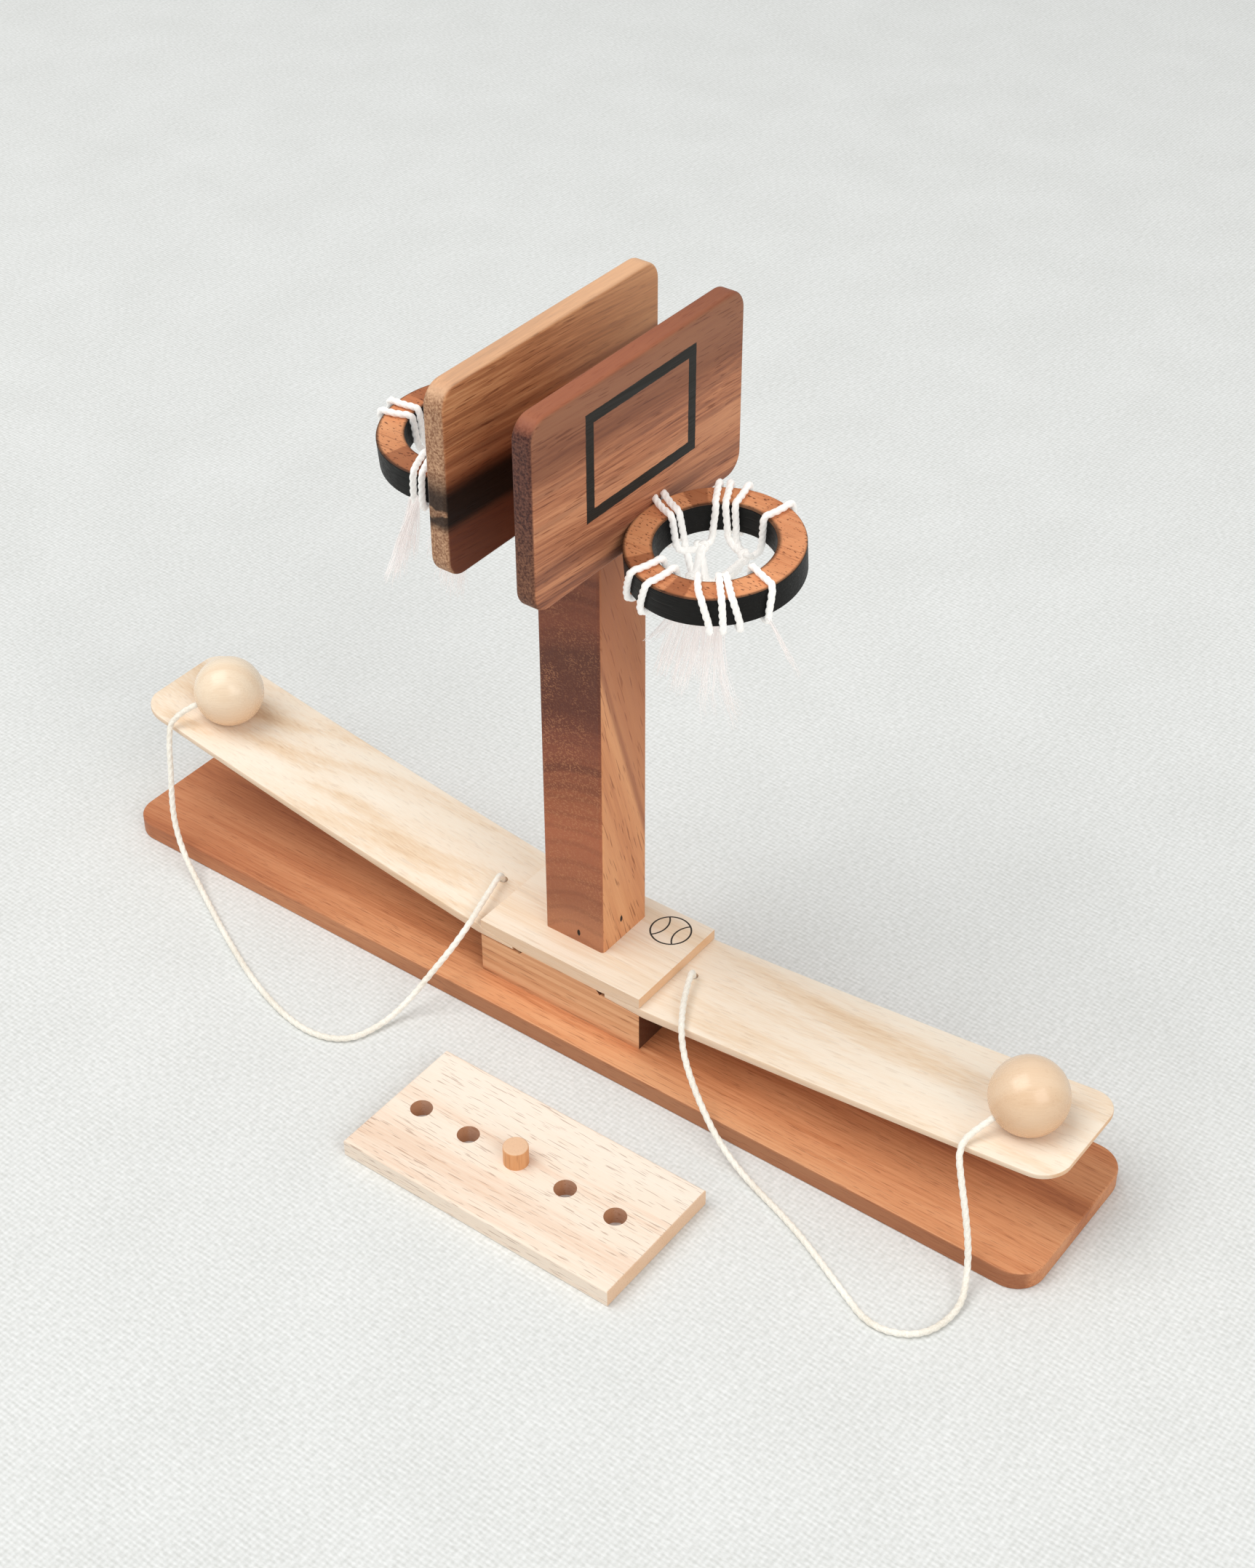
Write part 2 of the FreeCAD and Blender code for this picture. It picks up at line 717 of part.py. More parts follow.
def make_hoop(name, side):
    """A thick ring with a small flat against the backboard, turned a little about its dowel."""
    body = new_body("hoop_" + name)
    ring = circle_sketch(body, "XY_Plane", "hoop_outline_" + name,
                         (("0", "0", "hoop_outer"), ("0", "0", "hoop_inner")))
    pad(body, ring, "hoop_pad_" + name, "hoop_thick", both_ways=True)
    round_edges(body, "hoop_edges_" + name, "hoop_edge_round",
                at_level(size("hoop_thick") / 2, -size("hoop_thick") / 2))
    away = "-" if side > 0 else "+"
    flat = f"{away}(hoop_outer-hoop_flat)"
    beyond = f"{away}(hoop_outer+hoop_flat)"
    low, high = (beyond, flat) if side > 0 else (flat, beyond)
    cut = outline_sketch(body, "XY_Plane", "hoop_flat_" + name,
                         rectangle(low, high, "-hoop_outer", "hoop_outer"))
    pocket_through(body, cut, "hoop_face_" + name)
    body.Placement = hoop_placement(name, side)
    doc.recompute()
    return drilled("hoop_" + name, body, nodes["hoop_dowels"].Shape)


def strand_start():
    """The level, in the ring's own frame, at which a strand comes up into the ring."""
    return -size("hoop_thick") / 2 - size("strand_radius") - size("strand_clearance") - 1


def make_net_loops(name, side):
    """Cotton strands, each up through the ring, over its top and back under its outer side."""
    radius, room = size("strand_radius"), size("strand_radius") + size("strand_clearance")
    near, far = size("hoop_inner") - room, size("hoop_outer") + room
    top = size("hoop_thick") / 2 + room
    strands = []
    for angle in NET_ANGLES[name]:
        route = [Vector(near, 0, strand_start()), Vector(near, 0, top), Vector(far, 0, top),
                 Vector(far, 0, -top), Vector(near + 3 * radius, 0, -top)]
        turn = Placement(Vector(), Rotation(ALONG_Z, angle))
        strand, _, _ = tube([turn.multVec(point) for point in route], radius, size("strand_bend"))
        strands.append(strand)
    return solid_feature("net_loops_" + name, Part.makeCompound(strands), hoop_placement(name, side))


def make_net_tassel(name, side):
    """Every other strand hangs on from the ring to a knot below it, with a bunch of tails under the knot."""
    place, radius = hoop_placement(name, side), size("strand_radius")
    near = size("hoop_inner") - radius - size("strand_clearance")
    start = strand_start()
    knot = place.Base.sub(Vector(0, 0, size("tassel_knot_drop")))
    shape = Part.makeSphere(size("tassel_knot_radius"), knot)
    for angle in NET_ANGLES[name][::2]:
        turn = Rotation(ALONG_Z, angle)
        hang = [place.multVec(turn.multVec(Vector(near, 0, height))) for height in (start, start - 3)]
        strand, _, _ = tube([*hang, knot], radius, size("strand_bend"))
        tail = turn.multVec(Vector(near / 3, 0, 0)).add(Vector(*TASSEL_LEAN[name], -size("tassel_length")))
        shape = shape.fuse(strand).fuse(rod(knot, knot.add(tail), radius))
    return solid_feature("net_tassel_" + name, shape)


for name, side in SIDES:
    nodes["hoop_" + name] = make_hoop(name, side)
    nodes["net_loops_" + name] = make_net_loops(name, side)
    nodes["net_tassel_" + name] = make_net_tassel(name, side)


# ---- score plate and peg ----
def score_hole_x(index):
    return f"score_first_hole+{index}*score_pitch-score_x"


def make_scoreboard():
    body = new_body("scoreboard")
    half_x, half_y = "score_length/2", "score_width/2"
    outline = outline_sketch(body, "XY_Plane", "score_outline",
                             rectangle("-" + half_x, half_x, "-" + half_y, half_y))
    pad(body, outline, "score_pad", "score_thick")
    round_edges(body, "score_edges", "score_edge_round", at_level(size("score_thick"), 0.0))
    holes = circle_sketch(body, "XY_Plane", "score_holes",
                          [(score_hole_x(index), "0", "score_hole") for index in range(SCORE_HOLES)])
    pocket_through(body, holes, "score_bores")
    body.Placement = Placement(Vector(size("score_x"), size("score_y"), 0), Rotation())
    doc.recompute()
    return body


def make_score_peg():
    body = new_body("score_peg")
    head = circle_sketch(body, "XY_Plane", "peg_head_outline", (("0", "0", "peg_head"),))
    pad(body, head, "peg_head_pad", "peg_height")
    stem = circle_sketch(body, "XY_Plane", "peg_stem_outline", (("0", "0", "peg_stem"),))
    stem_pad = pad(body, stem, "peg_stem_pad", "peg_stem_depth")
    stem_pad.Reversed = True
    doc.recompute()
    round_edges(body, "peg_top", "edge_round", at_level(size("peg_height")))
    across = size("score_x") + number(score_hole_x(PEG_HOLE))
    body.Placement = Placement(Vector(across, size("score_y"), size("score_thick")), Rotation())
    doc.recompute()
    return body


nodes["scoreboard"] = make_scoreboard()
nodes["score_peg"] = make_score_peg()


# ---- check and write ----
def check_and_write():
    doc.recompute()
    failed = [item.Name for item in doc.Objects if {"Invalid", "Error"} & set(item.State)]
    if failed:
        raise RuntimeError(f"failed objects: {failed}")
    os.makedirs("parts", exist_ok=True)
    for node, item in nodes.items():
        shape = item.Shape
        if shape.isNull() or not shape.isValid() or not shape.Solids:
            raise RuntimeError(f"{node} has no valid shape")
        if item.Label != node:
            item.Label = node
        shape.exportStep(f"parts/{node}.step")
        print(f"{node}: {len(shape.Solids)} solid(s), {shape.Volume:.0f} mm3")


check_and_write()
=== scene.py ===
"""Looks for the wooden two-player flick-basketball game: wood, twisted cotton, a pale floor and soft light.

Metres, +Z up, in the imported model's own frame. Sizes named *_MM are in millimetres.
"""
import math
import random

import bmesh
import bpy
from mathutils import Matrix, Vector, noise


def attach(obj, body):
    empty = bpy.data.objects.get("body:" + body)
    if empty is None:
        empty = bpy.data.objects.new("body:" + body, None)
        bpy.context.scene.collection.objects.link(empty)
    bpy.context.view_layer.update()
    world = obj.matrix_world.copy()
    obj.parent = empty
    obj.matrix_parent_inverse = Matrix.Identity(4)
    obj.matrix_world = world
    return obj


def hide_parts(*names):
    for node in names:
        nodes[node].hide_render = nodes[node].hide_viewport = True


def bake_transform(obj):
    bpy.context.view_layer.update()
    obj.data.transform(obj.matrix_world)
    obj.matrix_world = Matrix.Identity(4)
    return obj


MM = 0.001
# Without a seed of its own, Blender's noise starts from the clock and differs from run to run.
NOISE_SEED = 1794947752
noise.seed_set(NOISE_SEED)

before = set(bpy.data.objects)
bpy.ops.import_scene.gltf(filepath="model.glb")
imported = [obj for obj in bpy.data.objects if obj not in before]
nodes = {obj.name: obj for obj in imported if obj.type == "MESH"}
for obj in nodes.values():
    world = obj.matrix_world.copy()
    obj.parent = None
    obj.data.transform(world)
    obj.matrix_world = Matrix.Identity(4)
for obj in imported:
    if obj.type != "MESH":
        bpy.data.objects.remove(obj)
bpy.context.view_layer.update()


# ---- camera ----
def look_axes(azimuth, elevation, roll):
    """Right, up and back directions of a camera; azimuth 0 looks along +Y."""
    az, el, turn = (math.radians(angle) for angle in (azimuth, elevation, roll))
    back = Vector((math.cos(el) * math.sin(az), -math.cos(el) * math.cos(az), math.sin(el)))
    level = Vector((math.cos(az), math.sin(az), 0))
    rise = back.cross(level)
    right = level * math.cos(turn) + rise * math.sin(turn)
    return right, back.cross(right), back


def make_camera():
    data = bpy.data.cameras.new("camera")
    data.sensor_width = 36
    data.lens = 58.10
    data.clip_start = 0.01
    data.clip_end = 20
    camera = bpy.data.objects.new("camera", data)
    bpy.context.scene.collection.objects.link(camera)
    right, up, back = look_axes(azimuth=36.742, elevation=38.149, roll=-0.192)
    target, distance = Vector((-0.011733, 0.036796, 0.060)), 0.857675
    turn = Matrix((right, up, back)).transposed().to_4x4()
    camera.matrix_world = Matrix.Translation(target + back * distance) @ turn
    bpy.context.scene.camera = camera


make_camera()
bpy.context.scene.view_settings.view_transform = "Standard"


# ---- node materials ----
class Shade:
    """A small builder for one node material: each call adds a node and returns its output."""

    def __init__(self, name, roughness=0.5, **sockets):
        self.material = bpy.data.materials.new(name)
        self.material.use_nodes = True
        self.tree = self.material.node_tree
        self.shader = self.tree.nodes["Principled BSDF"]
        self.shader.inputs["Roughness"].default_value = roughness
        for socket, value in sockets.items():
            self.shader.inputs[socket.replace("_", " ")].default_value = value

    def plug(self, value, socket):
        if isinstance(value, bpy.types.NodeSocket):
            self.tree.links.new(value, socket)
        else:
            socket.default_value = value

    def coordinates(self, kind="Object"):
        return self.tree.nodes.new("ShaderNodeTexCoord").outputs[kind]

    def millimetres(self, middle=(0, 0, 0)):
        """Object coordinates in mm from a middle, as x, y and z."""
        place = self.vector("MULTIPLY", self.coordinates(), (1 / MM, 1 / MM, 1 / MM))
        return self.split(self.vector("SUBTRACT", place, middle))[:3]

    def facing(self, direction, low=0.3, high=0.8):
        """1 where the surface faces the given way."""
        return self.span(self.vector("DOT_PRODUCT", self.coordinates("Normal"), direction), low, high)

    def either_way(self, axis, low=0.5, high=0.85):
        """1 where the surface faces up or down an axis: 0 is X and 1 is Y."""
        return self.span(self.math("ABSOLUTE", self.split(self.coordinates("Normal"))[axis]), low, high)

    def mapping(self, source, location=(0, 0, 0), rotation=(0, 0, 0), scale=(1, 1, 1)):
        node = self.tree.nodes.new("ShaderNodeMapping")
        self.plug(source, node.inputs["Vector"])
        node.inputs["Location"].default_value = location
        node.inputs["Rotation"].default_value = [math.radians(angle) for angle in rotation]
        node.inputs["Scale"].default_value = scale
        return node.outputs["Vector"]

    def noise(self, source, scale, detail=3.0, output="Fac"):
        node = self.tree.nodes.new("ShaderNodeTexNoise")
        self.plug(source, node.inputs["Vector"])
        node.inputs["Scale"].default_value = scale
        node.inputs["Detail"].default_value = detail
        return node.outputs[output]

    def math(self, operation, first, second=0.0):
        node = self.tree.nodes.new("ShaderNodeMath")
        node.operation = operation
        self.plug(first, node.inputs[0])
        self.plug(second, node.inputs[1])
        return node.outputs[0]

    def vector(self, operation, first, second=(0, 0, 0)):
        node = self.tree.nodes.new("ShaderNodeVectorMath")
        node.operation = operation
        self.plug(first, node.inputs[0])
        self.plug(second, node.inputs[1])
        return node.outputs["Value" if operation in ("LENGTH", "DOT_PRODUCT") else "Vector"]

    def split(self, source):
        node = self.tree.nodes.new("ShaderNodeSeparateXYZ")
        self.plug(source, node.inputs[0])
        return node.outputs

    def span(self, value, low, high, start=0.0, stop=1.0):
        """Map low..high to start..stop, held at the ends, with a smooth run between them."""
        node = self.tree.nodes.new("ShaderNodeMapRange")
        node.interpolation_type = "SMOOTHSTEP"
        self.plug(value, node.inputs["Value"])
        for socket, number in (("From Min", low), ("From Max", high), ("To Min", start), ("To Max", stop)):
            node.inputs[socket].default_value = number
        return node.outputs["Result"]

    def wander(self, scale, reach, stretch=(1, 1, 1), detail=3.0):
        """A value that drifts between about -reach and reach from place to place."""
        drift = self.noise(self.mapping(self.coordinates(), scale=stretch), scale, detail)
        return self.math("MULTIPLY", self.math("SUBTRACT", drift, 0.5), 4 * reach)

    def near(self, value, middle, half, soft):
        """1 within half of the middle value, falling to 0 over the soft width beyond."""
        off = self.math("ABSOLUTE", self.math("SUBTRACT", value, middle))
        return self.span(off, half, half + soft, 1.0, 0.0)

    def inverse(self, value):
        return self.math("SUBTRACT", 1.0, value)

    def radius(self, x, y):
        return self.math("SQRT", self.math("ADD", self.math("POWER", x, 2), self.math("POWER", y, 2)))

    def total(self, *values):
        out = values[0]
        for value in values[1:]:
            out = self.math("ADD", out, value)
        return out

    def product(self, *values):
        out = values[0]
        for value in values[1:]:
            out = self.math("MULTIPLY", out, value)
        return out

    def ramp(self, value, *stops):
        """Colour by value; each stop is (position, (r, g, b) in display values 0-255)."""
        node = self.tree.nodes.new("ShaderNodeValToRGB")
        self.plug(value, node.inputs["Fac"])
        points = node.color_ramp.elements
        points[0].position = stops[0][0]
        points[1].position = stops[-1][0]
        for position, _ in stops[1:-1]:
            points.new(position)
        for point, (_, colour) in zip(points, stops):
            point.color = linear(colour)
        return node.outputs["Color"]

    def mix(self, amount, first, second, kind="MIX"):
        node = self.tree.nodes.new("ShaderNodeMix")
        node.data_type = "RGBA"
        node.blend_type = kind
        self.plug(amount, node.inputs["Factor"])
        self.plug(linear(first) if isinstance(first, tuple) else first, node.inputs["A"])
        self.plug(linear(second) if isinstance(second, tuple) else second, node.inputs["B"])
        return node.outputs["Result"]

    def bump(self, height, strength, distance):
        node = self.tree.nodes.new("ShaderNodeBump")
        self.plug(height, node.inputs["Height"])
        node.inputs["Strength"].default_value = strength
        node.inputs["Distance"].default_value = distance
        self.tree.links.new(node.outputs["Normal"], self.shader.inputs["Normal"])

    def finish(self, colour):
        self.plug(colour, self.shader.inputs["Base Color"])
        return self.material


def linear(colour):
    """A display colour, 0-255, as the linear colour that the shader takes."""
    def one(value):
        value /= 255
        return value / 12.92 if value <= 0.04045 else ((value + 0.055) / 1.055) ** 2.4
    return (*(one(value) for value in colour), 1.0)


def wood(name, stops, turn=(0, 0, 0), pith=(0, 0.03, -0.06), ring=0.004, wobble=0.006, streaks=0.35,
         fibres=0.25, pores=0.5, pore_size=1.0, relief=0.25, roughness=0.5, seed=0.0):
    """Solid wood, as its shade and colour. Its grain runs along X after the turn, its rings round the pith.

    The pattern is cut from one solid, so faces show long grain and ends show rings and open pores.
    """
    shade = Shade(name, roughness, Specular_IOR_Level=0.2)
    place = shade.mapping(shade.coordinates(), location=(seed, seed, seed), rotation=turn)
    sway = shade.noise(shade.mapping(place, scale=(5, 18, 18)), 1.0, 2.0, output="Color")
    sway = shade.vector("MULTIPLY", shade.vector("SUBTRACT", sway, (0.5, 0.5, 0.5)), (0, wobble, wobble))
    place = shade.vector("ADD", place, sway)
    out = shade.vector("MULTIPLY", shade.vector("SUBTRACT", place, pith), (0, 1, 1))
    radius = shade.math("DIVIDE", shade.vector("LENGTH", out), ring)
    along = shade.split(place)[0]
    across = shade.tree.nodes.new("ShaderNodeCombineXYZ")
    shade.plug(radius, across.inputs[0])
    shade.plug(shade.math("MULTIPLY", along, 3.0), across.inputs[1])
    rings = shade.noise(across.outputs[0], 1.0, 4.0)
    streak = shade.noise(shade.mapping(place, scale=(3, 60, 60)), 1.0, 3.0)
    fibre = shade.noise(shade.mapping(place, scale=(40, 1400, 1400)), 1.0, 2.0)
    tone = shade.total(shade.product(rings, 1 - streaks), shade.product(streak, streaks),
                       shade.product(shade.math("SUBTRACT", fibre, 0.5), fibres))
    colour = shade.ramp(shade.span(tone, 0.25, 0.75), *stops)
    long, short = 90 / pore_size, 1500 / pore_size
    dash = shade.noise(shade.mapping(place, scale=(long, short, short)), 1.0, 1.0)
    dash = shade.span(dash, 0.60, 0.70)
    darker = shade.mix(1.0, colour, (130, 85, 60), "MULTIPLY")
    colour = shade.mix(shade.product(dash, pores), colour, darker)
    height = shade.math("SUBTRACT", shade.math("MULTIPLY", fibre, 0.4), dash)
    shade.bump(height, relief, 0.0002)
    gloss = shade.span(fibre, 0.3, 0.7, roughness - 0.06, roughness + 0.08)
    shade.plug(gloss, shade.shader.inputs["Roughness"])
    return shade, colour


# ---- mesh helpers ----
def piece(name, vertices, faces, material):
    mesh = bpy.data.meshes.new(name)
    mesh.from_pydata(vertices, [], faces)
    mesh.update()
    mesh.shade_smooth()
    mesh.materials.append(material)
    made = bpy.data.objects.new(name, mesh)
    bpy.context.scene.collection.objects.link(made)
    return made


def paint(node, material):
    """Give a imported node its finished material."""
    mesh = nodes[node].data
    mesh.materials.clear()
    mesh.materials.append(material)


def spline_line(points):
    """Points read along the smooth NURBS line through the given control points."""
    curve = bpy.data.curves.new("line", "CURVE")
    curve.dimensions = "3D"
    spline = curve.splines.new("NURBS")
    spline.points.add(len(points) - 1)
    for control, point in zip(spline.points, points):
        control.co = (*point, 1)
    spline.order_u = 3
    spline.use_endpoint_u = True
    curve.resolution_u = 24
    holder = bpy.data.objects.new("line", curve)
    mesh = bpy.data.meshes.new_from_object(holder)
    line = [vertex.co.copy() for vertex in mesh.vertices]
    bpy.data.objects.remove(holder)
    bpy.data.meshes.remove(mesh)
    bpy.data.curves.remove(curve)
    return line


def even_line(line, step):
    """The same line with its points a step apart."""
    reach = [0.0]
    for before, after in zip(line, line[1:]):
        reach.append(reach[-1] + (after - before).length)
    count = max(2, round(reach[-1] / step))
    out, place = [], 0
    for index in range(count + 1):
        goal = reach[-1] * index / count
        while place < len(reach) - 2 and reach[place + 1] < goal:
            place += 1
        part = (goal - reach[place]) / max(reach[place + 1] - reach[place], 1e-9)
        out.append(line[place].lerp(line[place + 1], min(part, 1)))
    return out, reach[-1]


def frames_along(line):
    """A pair of directions square to the line at each point, carried along without twist."""
    count = len(line)
    tangents = [(line[min(i + 1, count - 1)] - line[max(i - 1, 0)]).normalized() for i in range(count)]
    side = tangents[0].orthogonal().normalized()
    frames = []
    for tangent in tangents:
        side = (side - tangent * side.dot(tangent)).normalized()
        frames.append((side, tangent.cross(side)))
    return frames


def tube_faces(rows, sides):
    """Faces of a closed tube: rows of points round it, joined side by side, with a flat face at each end."""
    faces = []
    for row in range(rows - 1):
        for step in range(sides):
            after = (step + 1) % sides
            faces.append((row * sides + step, row * sides + after, (row + 1) * sides + after,
                          (row + 1) * sides + step))
    return faces + [tuple(range(sides))[::-1], tuple((rows - 1) * sides + step for step in range(sides))]


def rope_geometry(line, radius, twist=0.0, sides=15, plies=3, depth=0.24, ends=(1.0, 1.0)):
    """Vertices and faces of a twisted rope: its plies show as lobes that wind along the line."""
    vertices = []
    travelled = 0.0
    count = len(line)
    for index, (point, (side, other)) in enumerate(zip(line, frames_along(line))):
        if index:
            travelled += (point - line[index - 1]).length
        taper = ends[0] + (ends[1] - ends[0]) * index / (count - 1)
        for step in range(sides):
            angle = 2 * math.pi * step / sides
            lobe = abs(math.cos(plies / 2 * (angle - twist * travelled)))
            reach = radius * taper * (1 - depth + depth * lobe)
            vertices.append(point + side * (math.cos(angle) * reach) + other * (math.sin(angle) * reach))
    return vertices, tube_faces(count, sides)


def joined(parts):
    """Several (vertices, faces) as one."""
    vertices, faces = [], []
    for more_vertices, more_faces in parts:
        start = len(vertices)
        vertices.extend(more_vertices)
        faces.extend(tuple(start + corner for corner in face) for face in more_faces)
    return vertices, faces


def scaled(points):
    return [Vector(point) * MM for point in points]


# ---- materials ----
def cotton(name, colour, shadow, fuzz_scale, glow):
    """White cotton: soft, slightly fuzzy, a little darker in the hollows between its plies, where shade is
    painted.

    The slight glow stands for the light that passes from thread to thread in thin cotton.
    """
    shade = Shade(name, 0.9, Sheen_Weight=0.35, Sheen_Roughness=0.5, Specular_IOR_Level=0.15,
                  Emission_Strength=glow)
    place = shade.coordinates()
    fuzz = shade.noise(place, fuzz_scale, 4.0)
    patches = shade.noise(place, 60, 2.0)
    shade.bump(fuzz, 0.5, 0.0002)
    shading = shade.math("MULTIPLY", shade.math("ADD", fuzz, patches), 0.5)
    return shade.finish(shade.ramp(shading, (0.3, shadow), (0.62, colour)))


cord_cotton = cotton("cord_cotton", (248, 245, 236), (222, 214, 198), 1800, 0.04)
net_cotton = cotton("net_cotton", (254, 253, 250), (240, 236, 230), 1500, 0.16)
loose_cotton = cotton("loose_cotton", (254, 250, 248), (242, 230, 225), 1500, 0.2)


# ---- cords ----
CORD_ROUTES_MM = {
    "right": (
        (40.5, 2.8, 21.7), (40.5, 2.8, 29.6), (43.6, -5.0, 28.9), (47.8, -13.5, 28.7),
        (54.2, -23.4, 28.3), (57.8, -26.9, 22.8), (63.1, -30.0, 16.9), (71.1, -34.2, 10.9),
        (80.0, -38.2, 5.8), (93.0, -42.3, 1.3), (117.0, -50.2, 1.3), (141.3, -62.2, 1.3),
        (156.5, -69.6, 1.3), (170.6, -63.6, 1.3), (174.6, -48.0, 1.3), (170.0, -36.9, 4.6),
        (168.0, -34.4, 14.0), (163.6, -30.4, 23.2), (159.4, -27.0, 31.2), (156.0, -23.6, 37.4),
        (155.69, -17.01, 39.41), (162.34, -7.46, 45.19),
    ),
    "left": (
        (-39.4, 2.4, 23.3), (-39.4, 2.4, 31.4), (-37.2, -6.0, 30.8), (-35.0, -14.6, 30.3),
        (-32.6, -24.0, 29.2), (-34.9, -31.2, 21.8), (-38.6, -38.6, 13.6), (-42.3, -46.6, 5.0),
        (-44.6, -57.5, 1.3), (-49.0, -70.8, 1.3), (-64.0, -75.6, 1.3), (-88.6, -69.6, 1.3),
        (-115.0, -57.6, 1.3), (-142.0, -43.2, 1.3), (-157.4, -36.2, 7.0), (-163.4, -33.2, 17.4),
        (-165.6, -30.4, 28.6), (-166.9, -28.2, 35.6), (-169.2, -25.4, 44.8),
        (-172.32, -19.81, 52.4), (-165.02, -8.25, 55.39),
    ),
}
# The way in which each ball leaves its seat.
LIFTS = {"right": Vector((-0.1197, 0, 0.9928)), "left": Vector((0.1836, 0, 0.983))}


def make_cord(name):
    """The white cord from its knot under the strip to the bore of the ball.

    A short end of it lies inside the ball, packed along the way in which the ball leaves its seat.
    """
    spacing, radius, pitch = 0.5 * MM, 1.1 * MM, 9 * MM
    line, length = even_line(spline_line(scaled(CORD_ROUTES_MM[name])), spacing)
    rope = piece("cord_" + name + "_rope", *rope_geometry(line, radius, 2 * math.pi / pitch), cord_cotton)
    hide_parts("cord_" + name)
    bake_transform(rope)

    # The end is packed short, with a short pitch.
    draw, end_radius, end_pitch = LIFTS[name] * 2.5 * MM, 1.0 * MM, 0.45 * MM
    stretch = [line[-1] + draw * part / 30 for part in range(-6, 31)]
    inner = piece("cord_" + name + "_end", *rope_geometry(stretch, end_radius, 2 * math.pi / end_pitch),
                  cord_cotton)
    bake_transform(inner)


for side in ("right", "left"):
    make_cord(side)


# ---- woods ----
# Middles of the two rings, in mm, and how far they lean.
HOOPS_MM = {"right": (45.7, 2.5, 192.1), "left": (-44.5, -0.4, 200.1)}
HOOP_TILT = 6.0
# Dark sectors of each ring: heading and half width, in degrees.
HOOP_PATCHES = {"right": ((139, 7), (-125, 6), (-82, 7)), "left": ((-100, 16), (150, 20))}
RED_STOPS = ((0.0, (158, 96, 64)), (0.3, (197, 130, 88)),
             (0.65, (219, 156, 112)), (1.0, (230, 174, 130)))
BLOCK_STOPS = ((0.0, (190, 132, 94)), (0.35, (216, 160, 118)),
               (0.6, (228, 177, 134)), (1.0, (237, 190, 148)))
PALE_STOPS = ((0.0, (214, 178, 142)), (0.22, (234, 209, 180)),
              (0.5, (243, 227, 207)), (1.0, (247, 238, 223)))
RIGHT_BOARD_STOPS = ((0.0, (136, 84, 62)), (0.28, (176, 114, 82)),
                     (0.6, (200, 136, 99)), (1.0, (214, 152, 113)))
LEFT_BOARD_STOPS = ((0.0, (150, 94, 62)), (0.35, (192, 130, 88)),
                    (0.7, (216, 158, 112)), (1.0, (228, 174, 128)))
POST_STOPS = ((0.0, (192, 124, 84)), (0.35, (214, 148, 104)),
              (0.7, (224, 162, 116)), (1.0, (234, 176, 132)))
HOOP_STOPS = ((0.0, (188, 114, 74)), (0.4, (222, 152, 106)), (1.0, (236, 174, 128)))
BALL_STOPS = {"ball_right": ((0.0, (216, 176, 138)), (0.5, (230, 200, 168)), (1.0, (235, 210, 182))),
              "ball_left": ((0.0, (230, 196, 160)), (0.5, (242, 221, 194)), (1.0, (246, 230, 208)))}
SCORE_STOPS = ((0.0, (222, 184, 152)), (0.22, (236, 210, 188)),
               (0.5, (243, 226, 208)), (1.0, (246, 234, 220)))
PEG_STOPS = ((0.0, (206, 138, 88)), (0.5, (222, 160, 110)), (1.0, (232, 180, 134)))


def make_base_wood():
    shade, colour = wood("base_wood", RED_STOPS, ring=0.011, pith=(0, 0.05, -0.09), streaks=0.45,
                         fibres=0.3, pores=0.35, pore_size=0.6)
    across = shade.millimetres()[0]
    # The front face is painted darker, more towards the right: painted shade that evens out the light along
    # the board.
    edge = shade.product(shade.facing((0, -1, 0), 0.5, 0.75), shade.span(across, -140, -20, 0.0, 0.6))
    colour = shade.mix(shade.span(across, -150, -40, 0.4, 0.0), colour, (160, 92, 64))
    colour = shade.mix(shade.span(across, 20, 150, 0.0, 0.15), colour, (170, 96, 62))
    return shade.finish(shade.mix(edge, colour, (132, 76, 50)))


def make_block_wood():
    """Straight light grain, with both ends painted dark: mostly painted shade from the strips above, a little
    darker end grain.
    """
    shade, colour = wood("block_wood", BLOCK_STOPS, ring=0.0022, pith=(0, 0.01, -0.05), streaks=0.25,
                         pores=0.4, seed=0.4)
    # Both ends are painted dark brown: painted shade under the strips, over slightly darker end grain.
    return shade.finish(shade.mix(shade.product(shade.either_way(0, 0.4, 0.8), 0.92), colour, (66, 26, 14)))


def banded(shade, colour, level, bands, tint):
    """Dark lines of grain across a level in mm: the middle, half width, soft edge and amount of each."""
    for middle, half, soft, amount in bands:
        colour = shade.mix(shade.product(shade.near(level, middle, half, soft), amount), colour, tint)
    return colour


def frame_line(shade, direction):
    """1 on the frame painted on a backboard's outer face: a faintly uneven black line; sizes in mm."""
    width, low, high, middle, line = 52.6, 206.0, 241.0, 2.4, 3.7
    _, y, z = shade.millimetres()
    beside = shade.math("SUBTRACT", shade.math("ABSOLUTE", shade.math("SUBTRACT", y, middle)), width / 2)
    height = shade.math("ABSOLUTE", shade.math("SUBTRACT", z, (low + high) / 2))
    above = shade.math("SUBTRACT", height, (high - low) / 2)
    outside = shade.math("ADD", shade.math("MAXIMUM", beside, above), shade.wander(350, 0.09))
    on_line = shade.near(outside, -line / 2, line / 2 - 0.12, 0.24)
    return shade.product(on_line, shade.facing(direction, 0.8, 0.9))


def board_grain(name, stops, seed):
    return wood(name, stops, turn=(4, 0, 90), ring=0.009, pith=(0, 0.03, -0.02), wobble=0.012, streaks=0.5,
                fibres=0.5, pores=0.5, pore_size=0.8, seed=seed)


def end_pores(shade, dark, light):
    """Open end grain: pale pore mouths on a darker ground."""
    mouths = shade.noise(shade.coordinates(), 1500, 3.0)
    return shade.ramp(mouths, (0.35, dark), (0.7, light))


